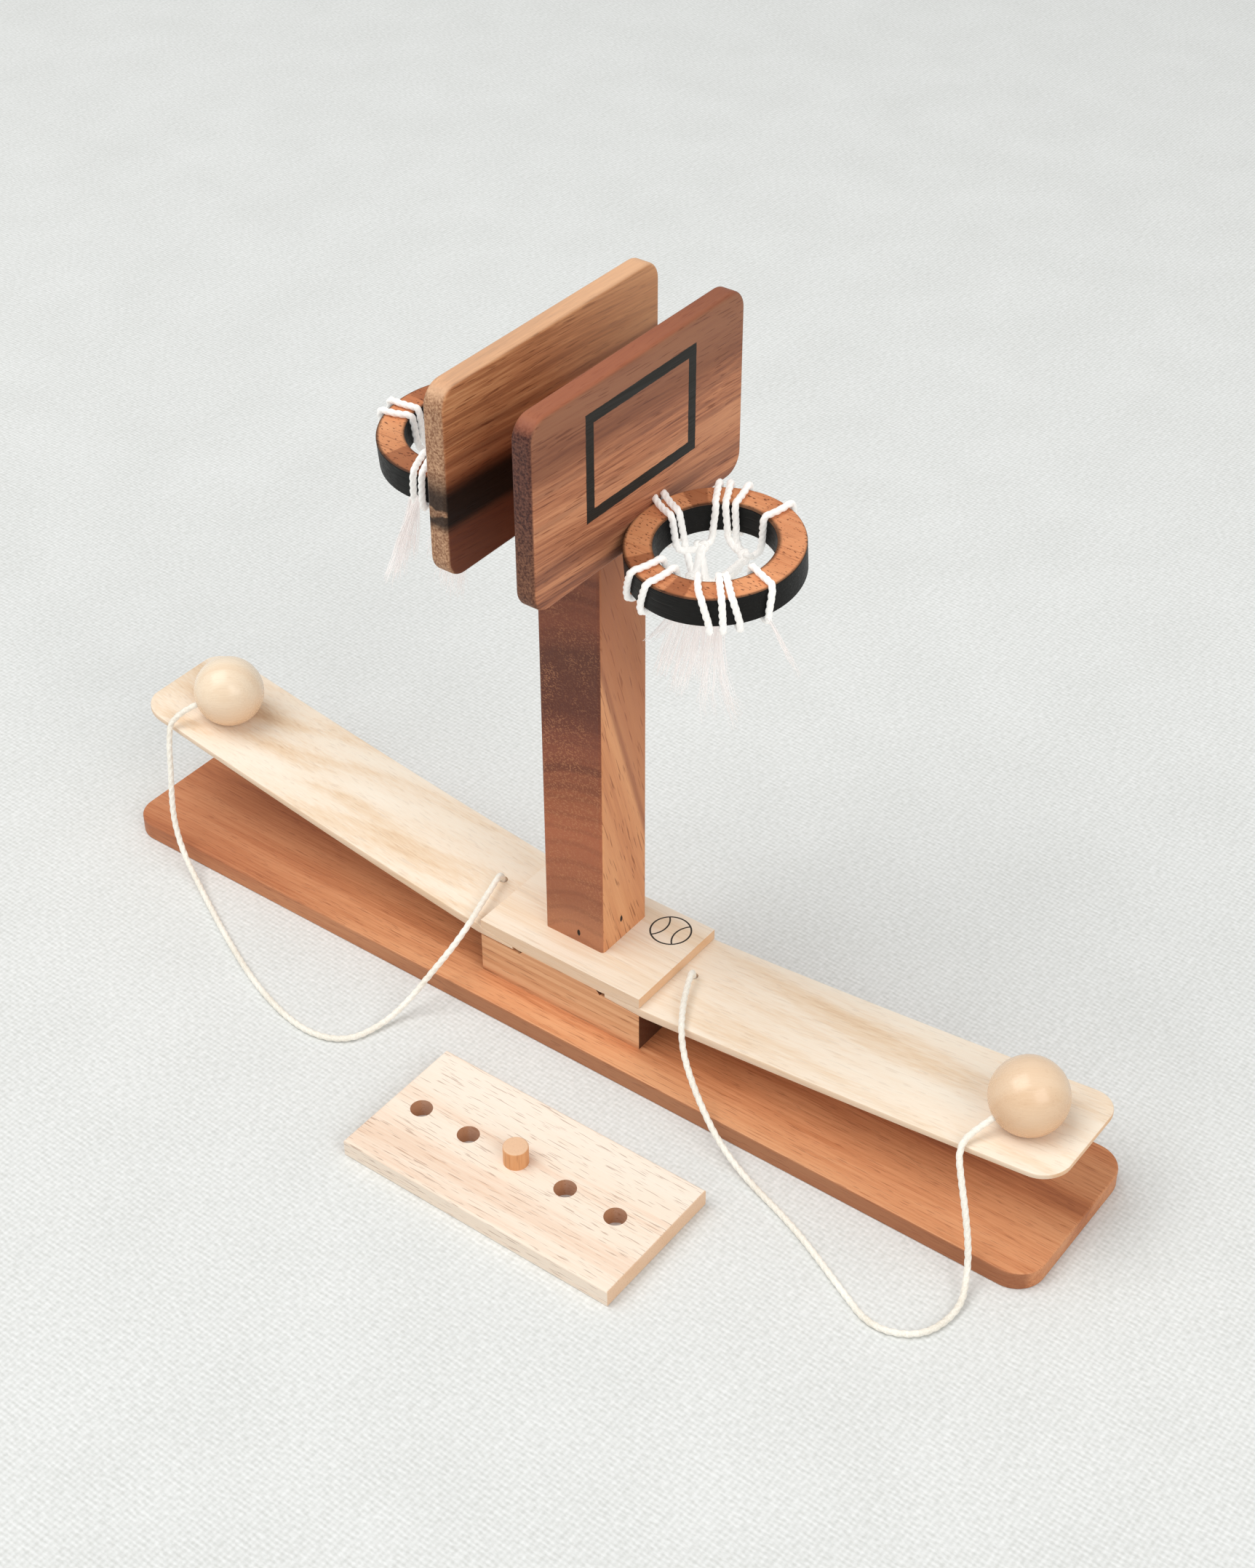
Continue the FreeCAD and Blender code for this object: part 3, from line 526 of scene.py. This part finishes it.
def make_right_board_wood():
    shade, colour = board_grain("board_right_wood", RIGHT_BOARD_STOPS, 0.31)
    _, y, z = shade.millimetres()
    level = shade.total(z, shade.math("MULTIPLY", y, 0.02), shade.wander(18, 1.6, (1, 0.3, 1)),
                        shade.wander(200, 0.8, (1, 0.1, 1)))
    colour = shade.mix(shade.span(level, 222, 232, 0.0, 0.6), colour, (96, 56, 44))
    bands = (224.0, 0.3, 1.5, 0.3), (214.0, 0.2, 1.2, 0.25), (198.0, 0.5, 3.0, 0.4), (190.0, 0.4, 1.6, 0.4)
    colour = banded(shade, colour, level, bands, (94, 56, 50))
    end = shade.mix(shade.span(z, 195, 225, 1.0, 0.0), end_pores(shade, (58, 31, 29), (118, 76, 62)),
                    end_pores(shade, (82, 48, 37), (142, 98, 74)))
    colour = shade.mix(shade.facing((0, -1, 0)), colour, end)
    top = shade.mix(shade.span(y, -10, 50, 0.0, 0.5), (164, 94, 66), (96, 54, 40))
    colour = shade.mix(shade.product(shade.facing((0, 0, 1)), 0.6), colour, top)
    return shade.finish(shade.mix(frame_line(shade, (1, 0, 0)), colour, (34, 32, 28)))


def make_left_board_wood():
    shade, colour = board_grain("board_left_wood", LEFT_BOARD_STOPS, 0.77)
    _, y, z = shade.millimetres()
    level = shade.total(z, shade.math("MULTIPLY", y, 0.06), shade.wander(22, 1.4, (1, 0.35, 1)),
                        shade.wander(200, 0.8, (1, 0.1, 1)))
    colour = shade.mix(shade.span(y, -20, 45, 0.0, 0.5), colour, (222, 168, 124))
    lower = shade.span(level, 214, 234, 0.75, 0.0)
    colour = shade.mix(lower, colour, shade.mix(1.0, colour, (168, 112, 92), "MULTIPLY"))
    foot = shade.product(shade.span(level, 199, 206, 1.0, 0.0), 0.8)
    colour = shade.mix(foot, colour, (86, 44, 30))
    bands = (229.0, 0.2, 1.5, 0.4), (223.0, 0.3, 2.0, 0.5)
    colour = banded(shade, colour, level, bands, (110, 58, 38))
    heart = shade.math("MULTIPLY", shade.span(level, 199, 204), shade.span(level, 212, 222, 1.0, 0.0))
    colour = shade.mix(shade.product(heart, 0.98), colour, (12, 8, 6))
    end = end_pores(shade, (136, 94, 68), (206, 164, 130))
    swirl = shade.near(shade.total(level, shade.wander(160, 1.5)), 207.0, 0.5, 1.5)
    end = shade.mix(shade.product(heart, shade.span(swirl, 0, 1, 0.92, 0.3)), end, (34, 24, 20))
    colour = shade.mix(shade.facing((0, -1, 0)), colour, end)
    colour = shade.mix(shade.product(shade.facing((0, 0, 1)), 0.6), colour, (228, 186, 150))
    return shade.finish(shade.mix(frame_line(shade, (-1, 0, 0)), colour, (34, 32, 28)))


def make_post_wood():
    """Slanting grain; the front is a speckled, arched face through the dark heart of the wood."""
    shade, colour = wood("post_wood", POST_STOPS, turn=(73.3, 0, 90), ring=0.012, pith=(0, 0.02, -0.03),
                         wobble=0.012, streaks=0.4, pores=0.5)
    x, y, z = shade.millimetres()
    slant = shade.total(y, shade.math("MULTIPLY", z, 0.3), shade.wander(20, 0.5))
    colour = shade.mix(shade.span(slant, 32.8, 35.0, 0.0, 0.5), colour, (166, 102, 72))
    colour = banded(shade, colour, slant, ((34.0, 0.3, 1.6, 0.45),), (130, 72, 56))
    colour = shade.mix(shade.span(z, 115, 180, 0.0, 0.4), colour, (150, 88, 64))

    bow = shade.math("MULTIPLY", shade.math("POWER", shade.math("SUBTRACT", x, 12), 2), 0.012)
    level = shade.total(z, bow, shade.wander(40, 2.0, detail=1.0))
    height = shade.math("DIVIDE", level, 200)  # the ramp's positions are parts of 200 mm
    front = shade.ramp(height, (0.18, (182, 122, 90)), (0.24, (158, 98, 70)), (0.38, (172, 102, 72)),
                       (0.46, (154, 90, 62)), (0.57, (130, 74, 56)), (0.63, (100, 56, 44)),
                       (0.74, (98, 58, 46)), (0.79, (126, 72, 54)), (0.86, (130, 76, 56)),
                       (0.94, (172, 110, 80)))
    bands = (174.0, 0.4, 2.2, 0.5), (167.0, 0.4, 2.2, 0.4), (103.0, 0.6, 2.2, 0.5), (96.0, 0.4, 2.2, 0.3)
    front = banded(shade, front, level, bands, (84, 46, 38))
    arcs = shade.math("SINE", shade.math("ADD", shade.math("MULTIPLY", level, 0.9), shade.wander(60, 1.2)))
    front = shade.mix(shade.span(arcs, 0.2, 1.0, 0.0, 0.16), front, (84, 46, 38))
    speckle = shade.noise(shade.mapping(shade.coordinates(), scale=(1, 1, 1.4)), 1400, 1.0)
    patches = shade.span(shade.noise(shade.coordinates(), 60, 2.0), 0.35, 0.6, 0.1, 0.5)
    front = shade.mix(shade.product(shade.span(speckle, 0.5, 0.66), patches), front, (190, 132, 94))
    return shade.finish(shade.mix(shade.facing((0, -1, 0), 0.45, 0.75), colour, front))


def make_hoop_wood(name, middle, patches):
    """Segments of turned wood with a burnt rim, charred black walls and a few dark sectors."""
    shade, colour = wood(name, HOOP_STOPS, ring=0.004, streaks=0.4, pores=0.3, pore_size=1.3)
    x, y, _ = shade.millimetres(middle)
    segments, first_joint = 8, 3.3
    turn = shade.math("MULTIPLY", shade.math("ADD", shade.math("ARCTAN2", y, x), first_joint),
                      segments / (2 * math.pi))
    shift = shade.math("FRACT", shade.math("MULTIPLY", shade.math("FLOOR", turn), 0.37))
    colour = shade.mix(shade.math("MULTIPLY", shift, 0.3), colour, (170, 96, 62))
    bearing = shade.total(shade.math("DEGREES", shade.math("ARCTAN2", y, x)), shade.wander(120, 1.5))
    for heading, half in patches:
        patch = shade.product(shade.near(bearing, heading, half, 2.0), 0.6)
        colour = shade.mix(patch, colour, (134, 72, 44))
    ticks = shade.noise(shade.mapping(shade.coordinates(), scale=(700, 1500, 900)), 1.0, 1.0)
    colour = shade.mix(shade.span(ticks, 0.62, 0.70, 0.0, 0.75), colour, (96, 48, 28))
    radius = shade.radius(x, y)
    rim = shade.math("MAXIMUM", shade.span(radius, 18.0, 19.4, 1.0, 0.0), shade.span(radius, 25.5, 26.6))
    wall = shade.inverse(shade.facing((0, 0, 1), 0.55, 0.8))
    burn = shade.math("MAXIMUM", wall, shade.math("MULTIPLY", rim, 0.8))
    return shade.finish(shade.mix(burn, colour, (9, 9, 8)))


def make_ball_wood(name, stops):
    """Smooth pale turned wood with a soft shine, a little darker on its underside, where warm bounce light
    and shade are painted.
    """
    shade, colour = wood(name, stops, turn=(0, 0, -37), ring=0.009, pith=(0, 0.0, 0.09), fibres=0.04,
                         pores=0.07, pore_size=0.8, relief=0.02, roughness=0.25)
    shade.shader.inputs["Specular IOR Level"].default_value = 0.5
    # Painted bounce light and shade: a warm tan on the faces that turn downwards.
    painted_underside = shade.inverse(shade.facing((0, 0, 1), -0.5, 0.6))
    return shade.finish(shade.mix(shade.product(painted_underside, 0.45), colour, (216, 160, 112)))


def make_score_wood():
    """Pale wood with fine pores, darker at its ends, with painted shade on the walls inside its holes."""
    shade, colour = wood("score_wood", SCORE_STOPS, ring=0.007, pith=(0, 0.02, -0.05), streaks=0.4,
                         fibres=0.2, pores=0.42, pore_size=0.7, roughness=0.55, seed=0.55)
    colour = shade.mix(shade.product(shade.either_way(0), 0.65), colour, (226, 178, 134))
    last_hole, half_pitch = (-4.9, -83.3, 0), 9.7
    x, y, _ = shade.millimetres(last_hole)
    along = shade.math("PINGPONG", shade.math("ABSOLUTE", x), half_pitch)
    # Painted shade: the walls inside the holes are painted darker.
    side_on = shade.inverse(shade.facing((0, 0, 1), 0.3, 0.6))
    inside = shade.product(shade.span(shade.radius(along, y), 4.4, 5.0, 1.0, 0.0), side_on,
                           shade.near(x, 4 * half_pitch, 44, 2))
    return shade.finish(shade.mix(shade.product(inside, 0.62), colour, (184, 118, 72)))


def make_peg_wood():
    shade, colour = wood("peg_wood", PEG_STOPS, turn=(0, 90, 0), ring=0.004, pith=(0, 0.02, -0.02),
                         pores=0.2)
    return shade.finish(shade.mix(shade.product(shade.facing((0, 0, 1)), 0.7), colour, (232, 200, 170)))


def make_steel():
    shade = Shade("nail_steel", 0.45, Metallic=1.0)
    wear = shade.noise(shade.coordinates(), 900, 3.0)
    return shade.finish(shade.ramp(wear, (0.3, (44, 40, 38)), (0.7, (84, 78, 74))))


def make_pale_wood():
    """Pale wood, with its end grain a little darker, and its front and back edges a little darker with
    painted shade.
    """
    shade, colour = wood("pale_wood", PALE_STOPS, ring=0.007, pith=(0, 0.02, -0.05), streaks=0.4, fibres=0.18,
                         pores=0.1, roughness=0.55, seed=0.13)
    # Faces to the front and the back are painted darker: painted shade on the edges.
    colour = shade.mix(shade.product(shade.either_way(1), 0.4), colour, (210, 166, 122))
    return shade.finish(shade.mix(shade.product(shade.either_way(0), 0.65), colour, (222, 166, 112)))


pale_wood = make_pale_wood()
steel = make_steel()
finishes = {
    "base_board": make_base_wood(), "spacer_block": make_block_wood(), "post": make_post_wood(),
    "backboard_right": make_right_board_wood(), "backboard_left": make_left_board_wood(),
    "scoreboard": make_score_wood(), "score_peg": make_peg_wood(), "post_screw": steel, "post_nails": steel,
    "cord_knot_right": cord_cotton, "cord_knot_left": cord_cotton,
}
finishes.update(("hoop_" + side, make_hoop_wood("hoop_" + side + "_wood", middle, HOOP_PATCHES[side]))
                for side, middle in HOOPS_MM.items())
finishes.update((node, make_ball_wood(node + "_wood", stops)) for node, stops in BALL_STOPS.items())
for node in ("cover_plate", "block_dowels", "cover_dowels", "backboard_dowels", "hoop_dowels"):
    finishes[node] = pale_wood
for node, material in finishes.items():
    paint(node, material)


# ---- springy strips ----
# Each strip's wedge tip, clamp mouth and free tip, as (x, low, high), then the radius of its bend, its cord
# hole and its ball's seat.
STRIPS_MM = {
    "right": ((21.2, 22.23, 24.05), (36.7, 21.7, 25.2), (187.0, 38.2, 40.1), 3700.0,
              (40.5, 2.8), (167.7, -1.6)),
    "left": ((-17.4, 22.9, 24.27), (-32.3, 22.9, 26.4), (-188.0, 48.9, 50.8), 2800.0,
             (-39.4, 2.4), (-162.7, -1.6)),
}


def arc_level(start, tip, radius, reach):
    """Height of a shallow upward arc from start to tip, both (reach, level), at some reach between them."""
    run, rise = tip[0] - start[0], tip[1] - start[1]
    half = math.hypot(run, rise) / 2
    lean = math.atan2(rise, run)
    depth = math.sqrt(radius ** 2 - half ** 2)
    across = (start[0] + tip[0]) / 2 - depth * math.sin(lean)
    level = (start[1] + tip[1]) / 2 + depth * math.cos(lean)
    return level - math.sqrt(radius ** 2 - (reach - across) ** 2)


def strip_section(low, high, half, edge):
    """A thin rectangle across the strip with rounded edges, as (across, level) points."""
    points = []
    for across, level, turn in ((half - edge, low + edge, -90), (half - edge, high - edge, 0),
                                (edge - half, high - edge, 90), (edge - half, low + edge, 180)):
        for step in range(4):
            angle = math.radians(turn + 30 * step)
            points.append((across + edge * math.cos(angle), level + edge * math.sin(angle)))
    return points


def make_strip(name, sign):
    """One springy strip from its clamped wedge to its rounded tip, in one piece."""
    wedge, mouth, tip, radius, cord_hole, ball_seat = STRIPS_MM[name]
    reach_wedge, reach_mouth, reach_tip = (abs(place[0]) for place in (wedge, mouth, tip))
    corner, edge, half_width = 9.5, 0.45, 21.3
    reaches = [reach_wedge + (reach_mouth - reach_wedge) * step / 8 for step in range(8)]
    reaches += [reach_mouth + (reach_tip - corner - reach_mouth) * step / 70 for step in range(71)]
    reaches += [reach_tip - corner + (corner - edge) * math.sin(math.radians(angle))
                for angle in range(6, 91, 6)]
    reaches += [reach_tip - edge + edge * math.sin(math.radians(step * 22.5)) for step in range(1, 5)]
    vertices = []
    for reach in reaches:
        if reach < reach_mouth:
            part = (reach - reach_wedge) / (reach_mouth - reach_wedge)
            low = wedge[1] + (mouth[1] - wedge[1]) * part
            high = wedge[2] + (mouth[2] - wedge[2]) * part
        else:
            low = arc_level((reach_mouth, mouth[1]), (reach_tip, tip[1]), radius, reach)
            high = arc_level((reach_mouth, mouth[2]), (reach_tip, tip[2]), radius, reach)
        past = max(0.0, min(reach - (reach_tip - corner), corner))
        half = half_width - corner + math.sqrt(corner ** 2 - past ** 2)
        over = max(0.0, reach - (reach_tip - edge))
        inset = edge - math.sqrt(max(edge ** 2 - over ** 2, 0))
        rounding = min(edge, (high - low) / 2 - inset * 0.99)
        section = strip_section(low + inset, high - inset, half - inset, rounding)
        vertices.extend(Vector((sign * reach, 1.0 + across, level)) * MM for across, level in section)
    faces = tube_faces(len(reaches), len(section))
    strip = piece("springboard_" + name + "_strip", vertices, faces, pale_wood)
    recalculate(strip)
    for place, hole in ((cord_hole, 1.6), (ball_seat, 6.0)):
        bore_through(strip, place, hole)
    strip.data.set_sharp_from_angle(angle=math.radians(40))
    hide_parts("springboard_" + name, "springboard_root_" + name)
    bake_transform(strip)


def recalculate(made):
    """Turn all faces outwards."""
    shape = bmesh.new()
    shape.from_mesh(made.data)
    bmesh.ops.recalc_face_normals(shape, faces=shape.faces)
    shape.to_mesh(made.data)
    shape.free()


def bore_through(made, place, radius):
    """Cut an upright round hole through a piece; place and radius in mm."""
    shape = bmesh.new()
    bmesh.ops.create_cone(shape, cap_ends=True, segments=48, radius1=radius * MM, radius2=radius * MM,
                          depth=0.2, matrix=Matrix.Translation((place[0] * MM, place[1] * MM, 0.03)))
    mesh = bpy.data.meshes.new("bore")
    shape.to_mesh(mesh)
    shape.free()
    cutter = bpy.data.objects.new("bore", mesh)
    bpy.context.scene.collection.objects.link(cutter)
    cut = made.modifiers.new("bore", "BOOLEAN")
    cut.object = cutter
    cut.solver = "EXACT"
    bpy.context.view_layer.update()
    result = bpy.data.meshes.new_from_object(made.evaluated_get(bpy.context.evaluated_depsgraph_get()))
    made.modifiers.remove(cut)
    made.data = result
    bpy.data.objects.remove(cutter)
    bpy.data.meshes.remove(mesh)


make_strip("right", 1)
make_strip("left", -1)


# ---- cotton nets ----
# Each strand over a ring: its direction, in degrees from +X, at the foot and the head of the ring's inner
# wall and at the head and the foot of its outer wall, and the knot that its inner end hangs from.
STRANDS = {
    "right": (
        (170, 173, 165, 162, "back_left"), (159, 163, 158, 155, "left"), (129, 124, 122, 121, "back_left"),
        (113, 114, 115, 114, "back"), (104, 104, 103, 103, "back"), (72, 67, 70, 70, "back"),
        (-17, -17, -19, -23, "low"), (-43, -44, -45, -41, "low"), (-51, -51, -51, -51, "middle"),
        (-69, -71, -63, -59, "middle"), (-95, -96, -99, -106, "left"), (-114, -115, -114, -122, "left"),
    ),
    "left": (
        (-165, -162, -164, -166, "left"), (-176, -176, -176, -176, "left"), (-90, -92, -83, -85, "middle"),
        (-82, -83, -77, -79, "middle"), (-58, -58, -60, -60, "low"), (-49, -49, -48, -48, "low"),
        (-34, -34, -33, -33, "back"), (36, 36, 35, 35, "back"), (62, 62, 60, 60, "back_left"),
        (70, 70, 71, 71, "back_left"), (98, 98, 97, 97, "left"), (132, 132, 130, 130, "back_left"),
    ),
}
# Knots of the net, from the ring's middle in mm.
KNOTS_MM = {
    "right": {"back_left": (-11.0, 8.4, -5.6), "back": (2.2, 12.6, -6.2), "left": (-8.7, 1.7, -12.0),
              "low": (-2.0, 9.0, -14.4), "middle": (-5.6, 4.2, -15.0)},
    "left": {"back_left": (8.0, 10.4, -6.6), "back": (12.2, 0.6, -6.2), "left": (-7.7, 2.7, -12.0),
             "low": (4.0, -6.0, -14.4), "middle": (-1.6, -3.2, -15.0)},
}
LINKS = (("back_left", "left"), ("back_left", "middle"), ("back", "low"), ("back", "middle"))
# Loose tails, from the ring's middle in mm: where each leaves the net, a point on its way and its end, then
# its width, its number of fibres and how far their tips curl.
TAILS_MM = {
    "right": (
        ((-8.7, 1.7, -12.5), (-9.4, -4.6, -22.0), (-15.9, -11.9, -31.0), 3.0, 30, 0.6),
        ((-8.7, 1.7, -12.5), (-9.4, -5.6, -28.0), (-12.6, -9.4, -43.7), 5.0, 52, 0.6),
        ((-5.6, 4.2, -15.5), (-6.6, -3.6, -32.0), (-8.9, -6.7, -50.3), 5.4, 56, 0.8),
        ((-5.6, 4.2, -15.5), (-4.2, -1.8, -34.0), (-4.6, -3.4, -45.0), 4.4, 44, 1.0),
        ((-2.0, 9.0, -14.9), (-3.4, 0.4, -38.0), (-1.7, -1.3, -58.9), 3.4, 30, 3.2),
        ((-2.0, 9.0, -14.9), (-2.4, 1.6, -42.0), (6.4, 4.8, -60.9), 3.4, 34, 3.2),
        ((25.8, -10.9, -5.5), (29.6, -8.6, -13.0), (33.0, -5.4, -26.0), 1.2, 11, 2.2),
    ),
    "left": (
        ((2.4, -27.4, -5.0), (0.4, -29.0, -18.0), (-2.7, -31.2, -33.0), 3.4, 40, 1.2),
        ((3.8, -27.2, -5.0), (0.0, -29.6, -18.0), (-5.2, -33.0, -36.5), 3.4, 40, 1.6),
        ((3.8, -27.2, -5.0), (2.6, -27.6, -16.0), (1.0, -28.6, -27.0), 2.6, 26, 1.0),
        ((-1.6, -3.2, -15.5), (-2.6, -7.0, -34.0), (-4.0, -10.0, -50.0), 4.4, 44, 1.6),
        ((4.0, -6.0, -14.9), (3.0, -8.0, -33.0), (0.0, -9.0, -52.0), 4.4, 44, 1.6),
        ((-7.7, 2.7, -12.5), (-9.0, -2.0, -28.0), (-12.0, -6.0, -44.0), 3.4, 30, 1.6),
    ),
}


def polar(angle, radius, level):
    turn = math.radians(angle)
    return Vector((radius * math.cos(turn), radius * math.sin(turn), level))


def strand_route(foot, head, over, down):
    """Up the ring's inner wall, across its top, down its outer wall and back under it; mm, ring's frame."""
    across = over - head
    return [polar(foot, 16.3, -6.4), polar(foot * 0.7 + head * 0.3, 16.6, -2.0), polar(head, 16.4, 4.2),
            polar(head, 16.9, 6.5), polar(head + across / 3, 20.6, 6.0),
            polar(head + across * 2 / 3, 24.4, 6.0), polar(over, 27.5, 6.4),
            polar(over * 0.7 + down * 0.3, 27.95, 3.4), polar(down, 27.9, -3.2),
            polar(down, 27.7, -6.5), polar(down, 24.4, -6.2), polar(foot, 19.6, -6.3)]


def knot_line(middle, size, turn):
    """A small closed tangle of rope, in mm."""
    line = []
    for step in range(61):
        angle = 2 * math.pi * step / 60
        place = Vector((math.sin(angle) + 2 * math.sin(2 * angle), math.cos(angle) - 2 * math.cos(2 * angle),
                        -1.3 * math.sin(3 * angle))) * size
        line.append(middle + Matrix.Rotation(turn, 3, "X") @ place)
    return line


def fibre_bundle(route, width, count, curl, seed):
    """Fibres of an untwisted cotton end: a flat ribbon that widens, then parts and curls at its tips; mm."""
    dice = random.Random(seed)
    line, _ = even_line(spline_line(route), 1.2)
    parts = []
    for _ in range(count):
        stop = max(4, round(len(line) * dice.uniform(0.8, 1.0)))
        aside = Vector((0.8, 0.6, 0)) * width * dice.uniform(-0.5, 0.5)
        depth = Vector((dice.gauss(0, 0.3), dice.gauss(0, 0.3), dice.gauss(0, 0.3)))
        tuft = dice.randrange(5) * 7.3
        points = []
        for index in range(stop):
            part = index / (len(line) - 1)
            sway = noise.noise_vector(Vector((tuft, part * 4.0, 0))) * 1.4 + depth * 0.5
            points.append(line[index] + aside * min(0.25 + 1.5 * part, 1) + depth + sway * curl * part ** 3)
        parts.append(rope_geometry(scaled(points), 0.12 * MM, sides=3, plies=0, depth=0.0, ends=(1.0, 0.5)))
    return joined(parts)


def make_net(name):
    middle = Vector(HOOPS_MM[name])
    lean = Matrix.Rotation(math.radians(HOOP_TILT), 3, "X")
    twist = 2 * math.pi / (7.5 * MM)
    knots = {key: middle + Vector(place) for key, place in KNOTS_MM[name].items()}
    ropes = []

    def add_rope(route_mm):
        line, _ = even_line(spline_line(scaled(route_mm)), 0.45 * MM)
        ropes.append(rope_geometry(line, 1.12 * MM, twist=twist, sides=12, depth=0.28))

    for foot, head, over, down, knot in STRANDS[name]:
        ring = [middle + lean @ point for point in strand_route(foot, head, over, down)]
        sag = (ring[0] + knots[knot]) / 2 - Vector((0, 0, 1.2))
        add_rope([knots[knot], sag] + ring)
    for start, stop in LINKS:
        half = (knots[start] + knots[stop]) / 2 + Vector((0.8, -0.8, -0.6))
        add_rope([knots[start], half, knots[stop]])
    for index, place in enumerate(knots.values()):
        line = scaled(knot_line(place, 0.62, 0.6 + index))
        ropes.append(rope_geometry(line, 0.8 * MM, twist=twist, sides=10, depth=0.28))
    net = piece("net_" + name, *joined(ropes), net_cotton)
    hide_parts("net_loops_" + name)
    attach(net, "stand")

    bundles = []
    for index, (leave, way, end, width, count, curl) in enumerate(TAILS_MM[name]):
        route = [middle + Vector(point) for point in (leave, way, end)]
        bundles.append(fibre_bundle(route, width, count, curl, index + len(name)))
    tails = piece("net_tails_" + name, *joined(bundles), loose_cotton)
    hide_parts("net_tassel_" + name)
    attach(tails, "stand")


for side in ("right", "left"):
    make_net(side)


# ---- stamped mark on the cover ----
def make_mark():
    """A plain stamped ring with two seams, just proud of the cover's top."""
    shade = Shade("mark_ink", 0.7)
    blot = shade.noise(shade.coordinates(), 1200, 2.0)
    ink = shade.finish(shade.ramp(blot, (0.3, (34, 30, 26)), (0.7, (62, 54, 46))))
    middle, radius, level = Vector((23.7, 13.2, 0)), 6.9, 29.22
    seam_middle, seam_radius, flatness = 9.6, 7.6, 0.1
    lines = [[polar(6 * step, radius, level) + middle for step in range(61)]]
    for side in (-1, 1):
        seam = [polar(angle, seam_radius, level) for angle in range(-45, 46, 5)]
        lines.append([middle + Vector((side * (seam_middle - point.x), point.y, point.z)) for point in seam])
    parts = [rope_geometry(scaled(line), 0.3 * MM, sides=6, plies=0, depth=0.0) for line in lines]
    vertices, faces = joined(parts)
    flat = [Vector((point.x, point.y, level * MM + (point.z - level * MM) * flatness)) for point in vertices]
    mark = piece("cover_mark", flat, faces, ink)
    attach(mark, "stand")


make_mark()


# ---- floor and light ----
def make_floor():
    """A plain off-white cloth with a fine, even weave."""
    shade = Shade("floor_cloth", 0.95, Specular_IOR_Level=0.1)
    thread_pitch = 1.7
    places = [shade.total(axis, shade.wander(120, 0.25)) for axis in shade.millimetres()[:2]]
    threads = [shade.math("SINE", shade.product(place, 2 * math.pi / thread_pitch)) for place in places]
    weave = shade.product(shade.total(*threads), 0.09)
    slubs = shade.noise(shade.mapping(shade.coordinates(), scale=(1, 2.2, 1)), 420, 3.0)
    tone = shade.total(weave, slubs, shade.wander(25, 0.06))
    material = shade.finish(shade.ramp(tone, (0.2, (207, 209, 207)), (0.8, (233, 235, 235))))
    shade.bump(tone, 0.3, 0.0003)
    half = 3.0
    corners = [(across * half, along * half, 0) for across, along in ((-1, -1), (1, -1), (1, 1), (-1, 1))]
    piece("floor", corners, [(0, 1, 2, 3)], material)


def make_light(name, place, size, power, colour):
    """A soft lamp turned to the object."""
    data = bpy.data.lights.new(name, "AREA")
    data.size = size
    data.energy = power
    data.color = colour
    lamp = bpy.data.objects.new(name, data)
    lamp.location = place
    lamp.rotation_euler = (Vector((0, 0, 0.08)) - Vector(place)).to_track_quat("-Z", "Y").to_euler()
    bpy.context.scene.collection.objects.link(lamp)


def make_world():
    world = bpy.data.worlds.new("studio")
    world.use_nodes = True
    background = world.node_tree.nodes["Background"]
    background.inputs["Color"].default_value = linear((243, 244, 244))
    background.inputs["Strength"].default_value = 0.56
    bpy.context.scene.world = world


make_floor()
make_world()
make_light("key", place=(-1.0, -1.0, 2.9), size=2.4, power=62, colour=(1.0, 0.985, 0.955))
make_light("fill", place=(2.4, -0.9, 2.0), size=2.0, power=37, colour=(1.0, 0.975, 0.935))
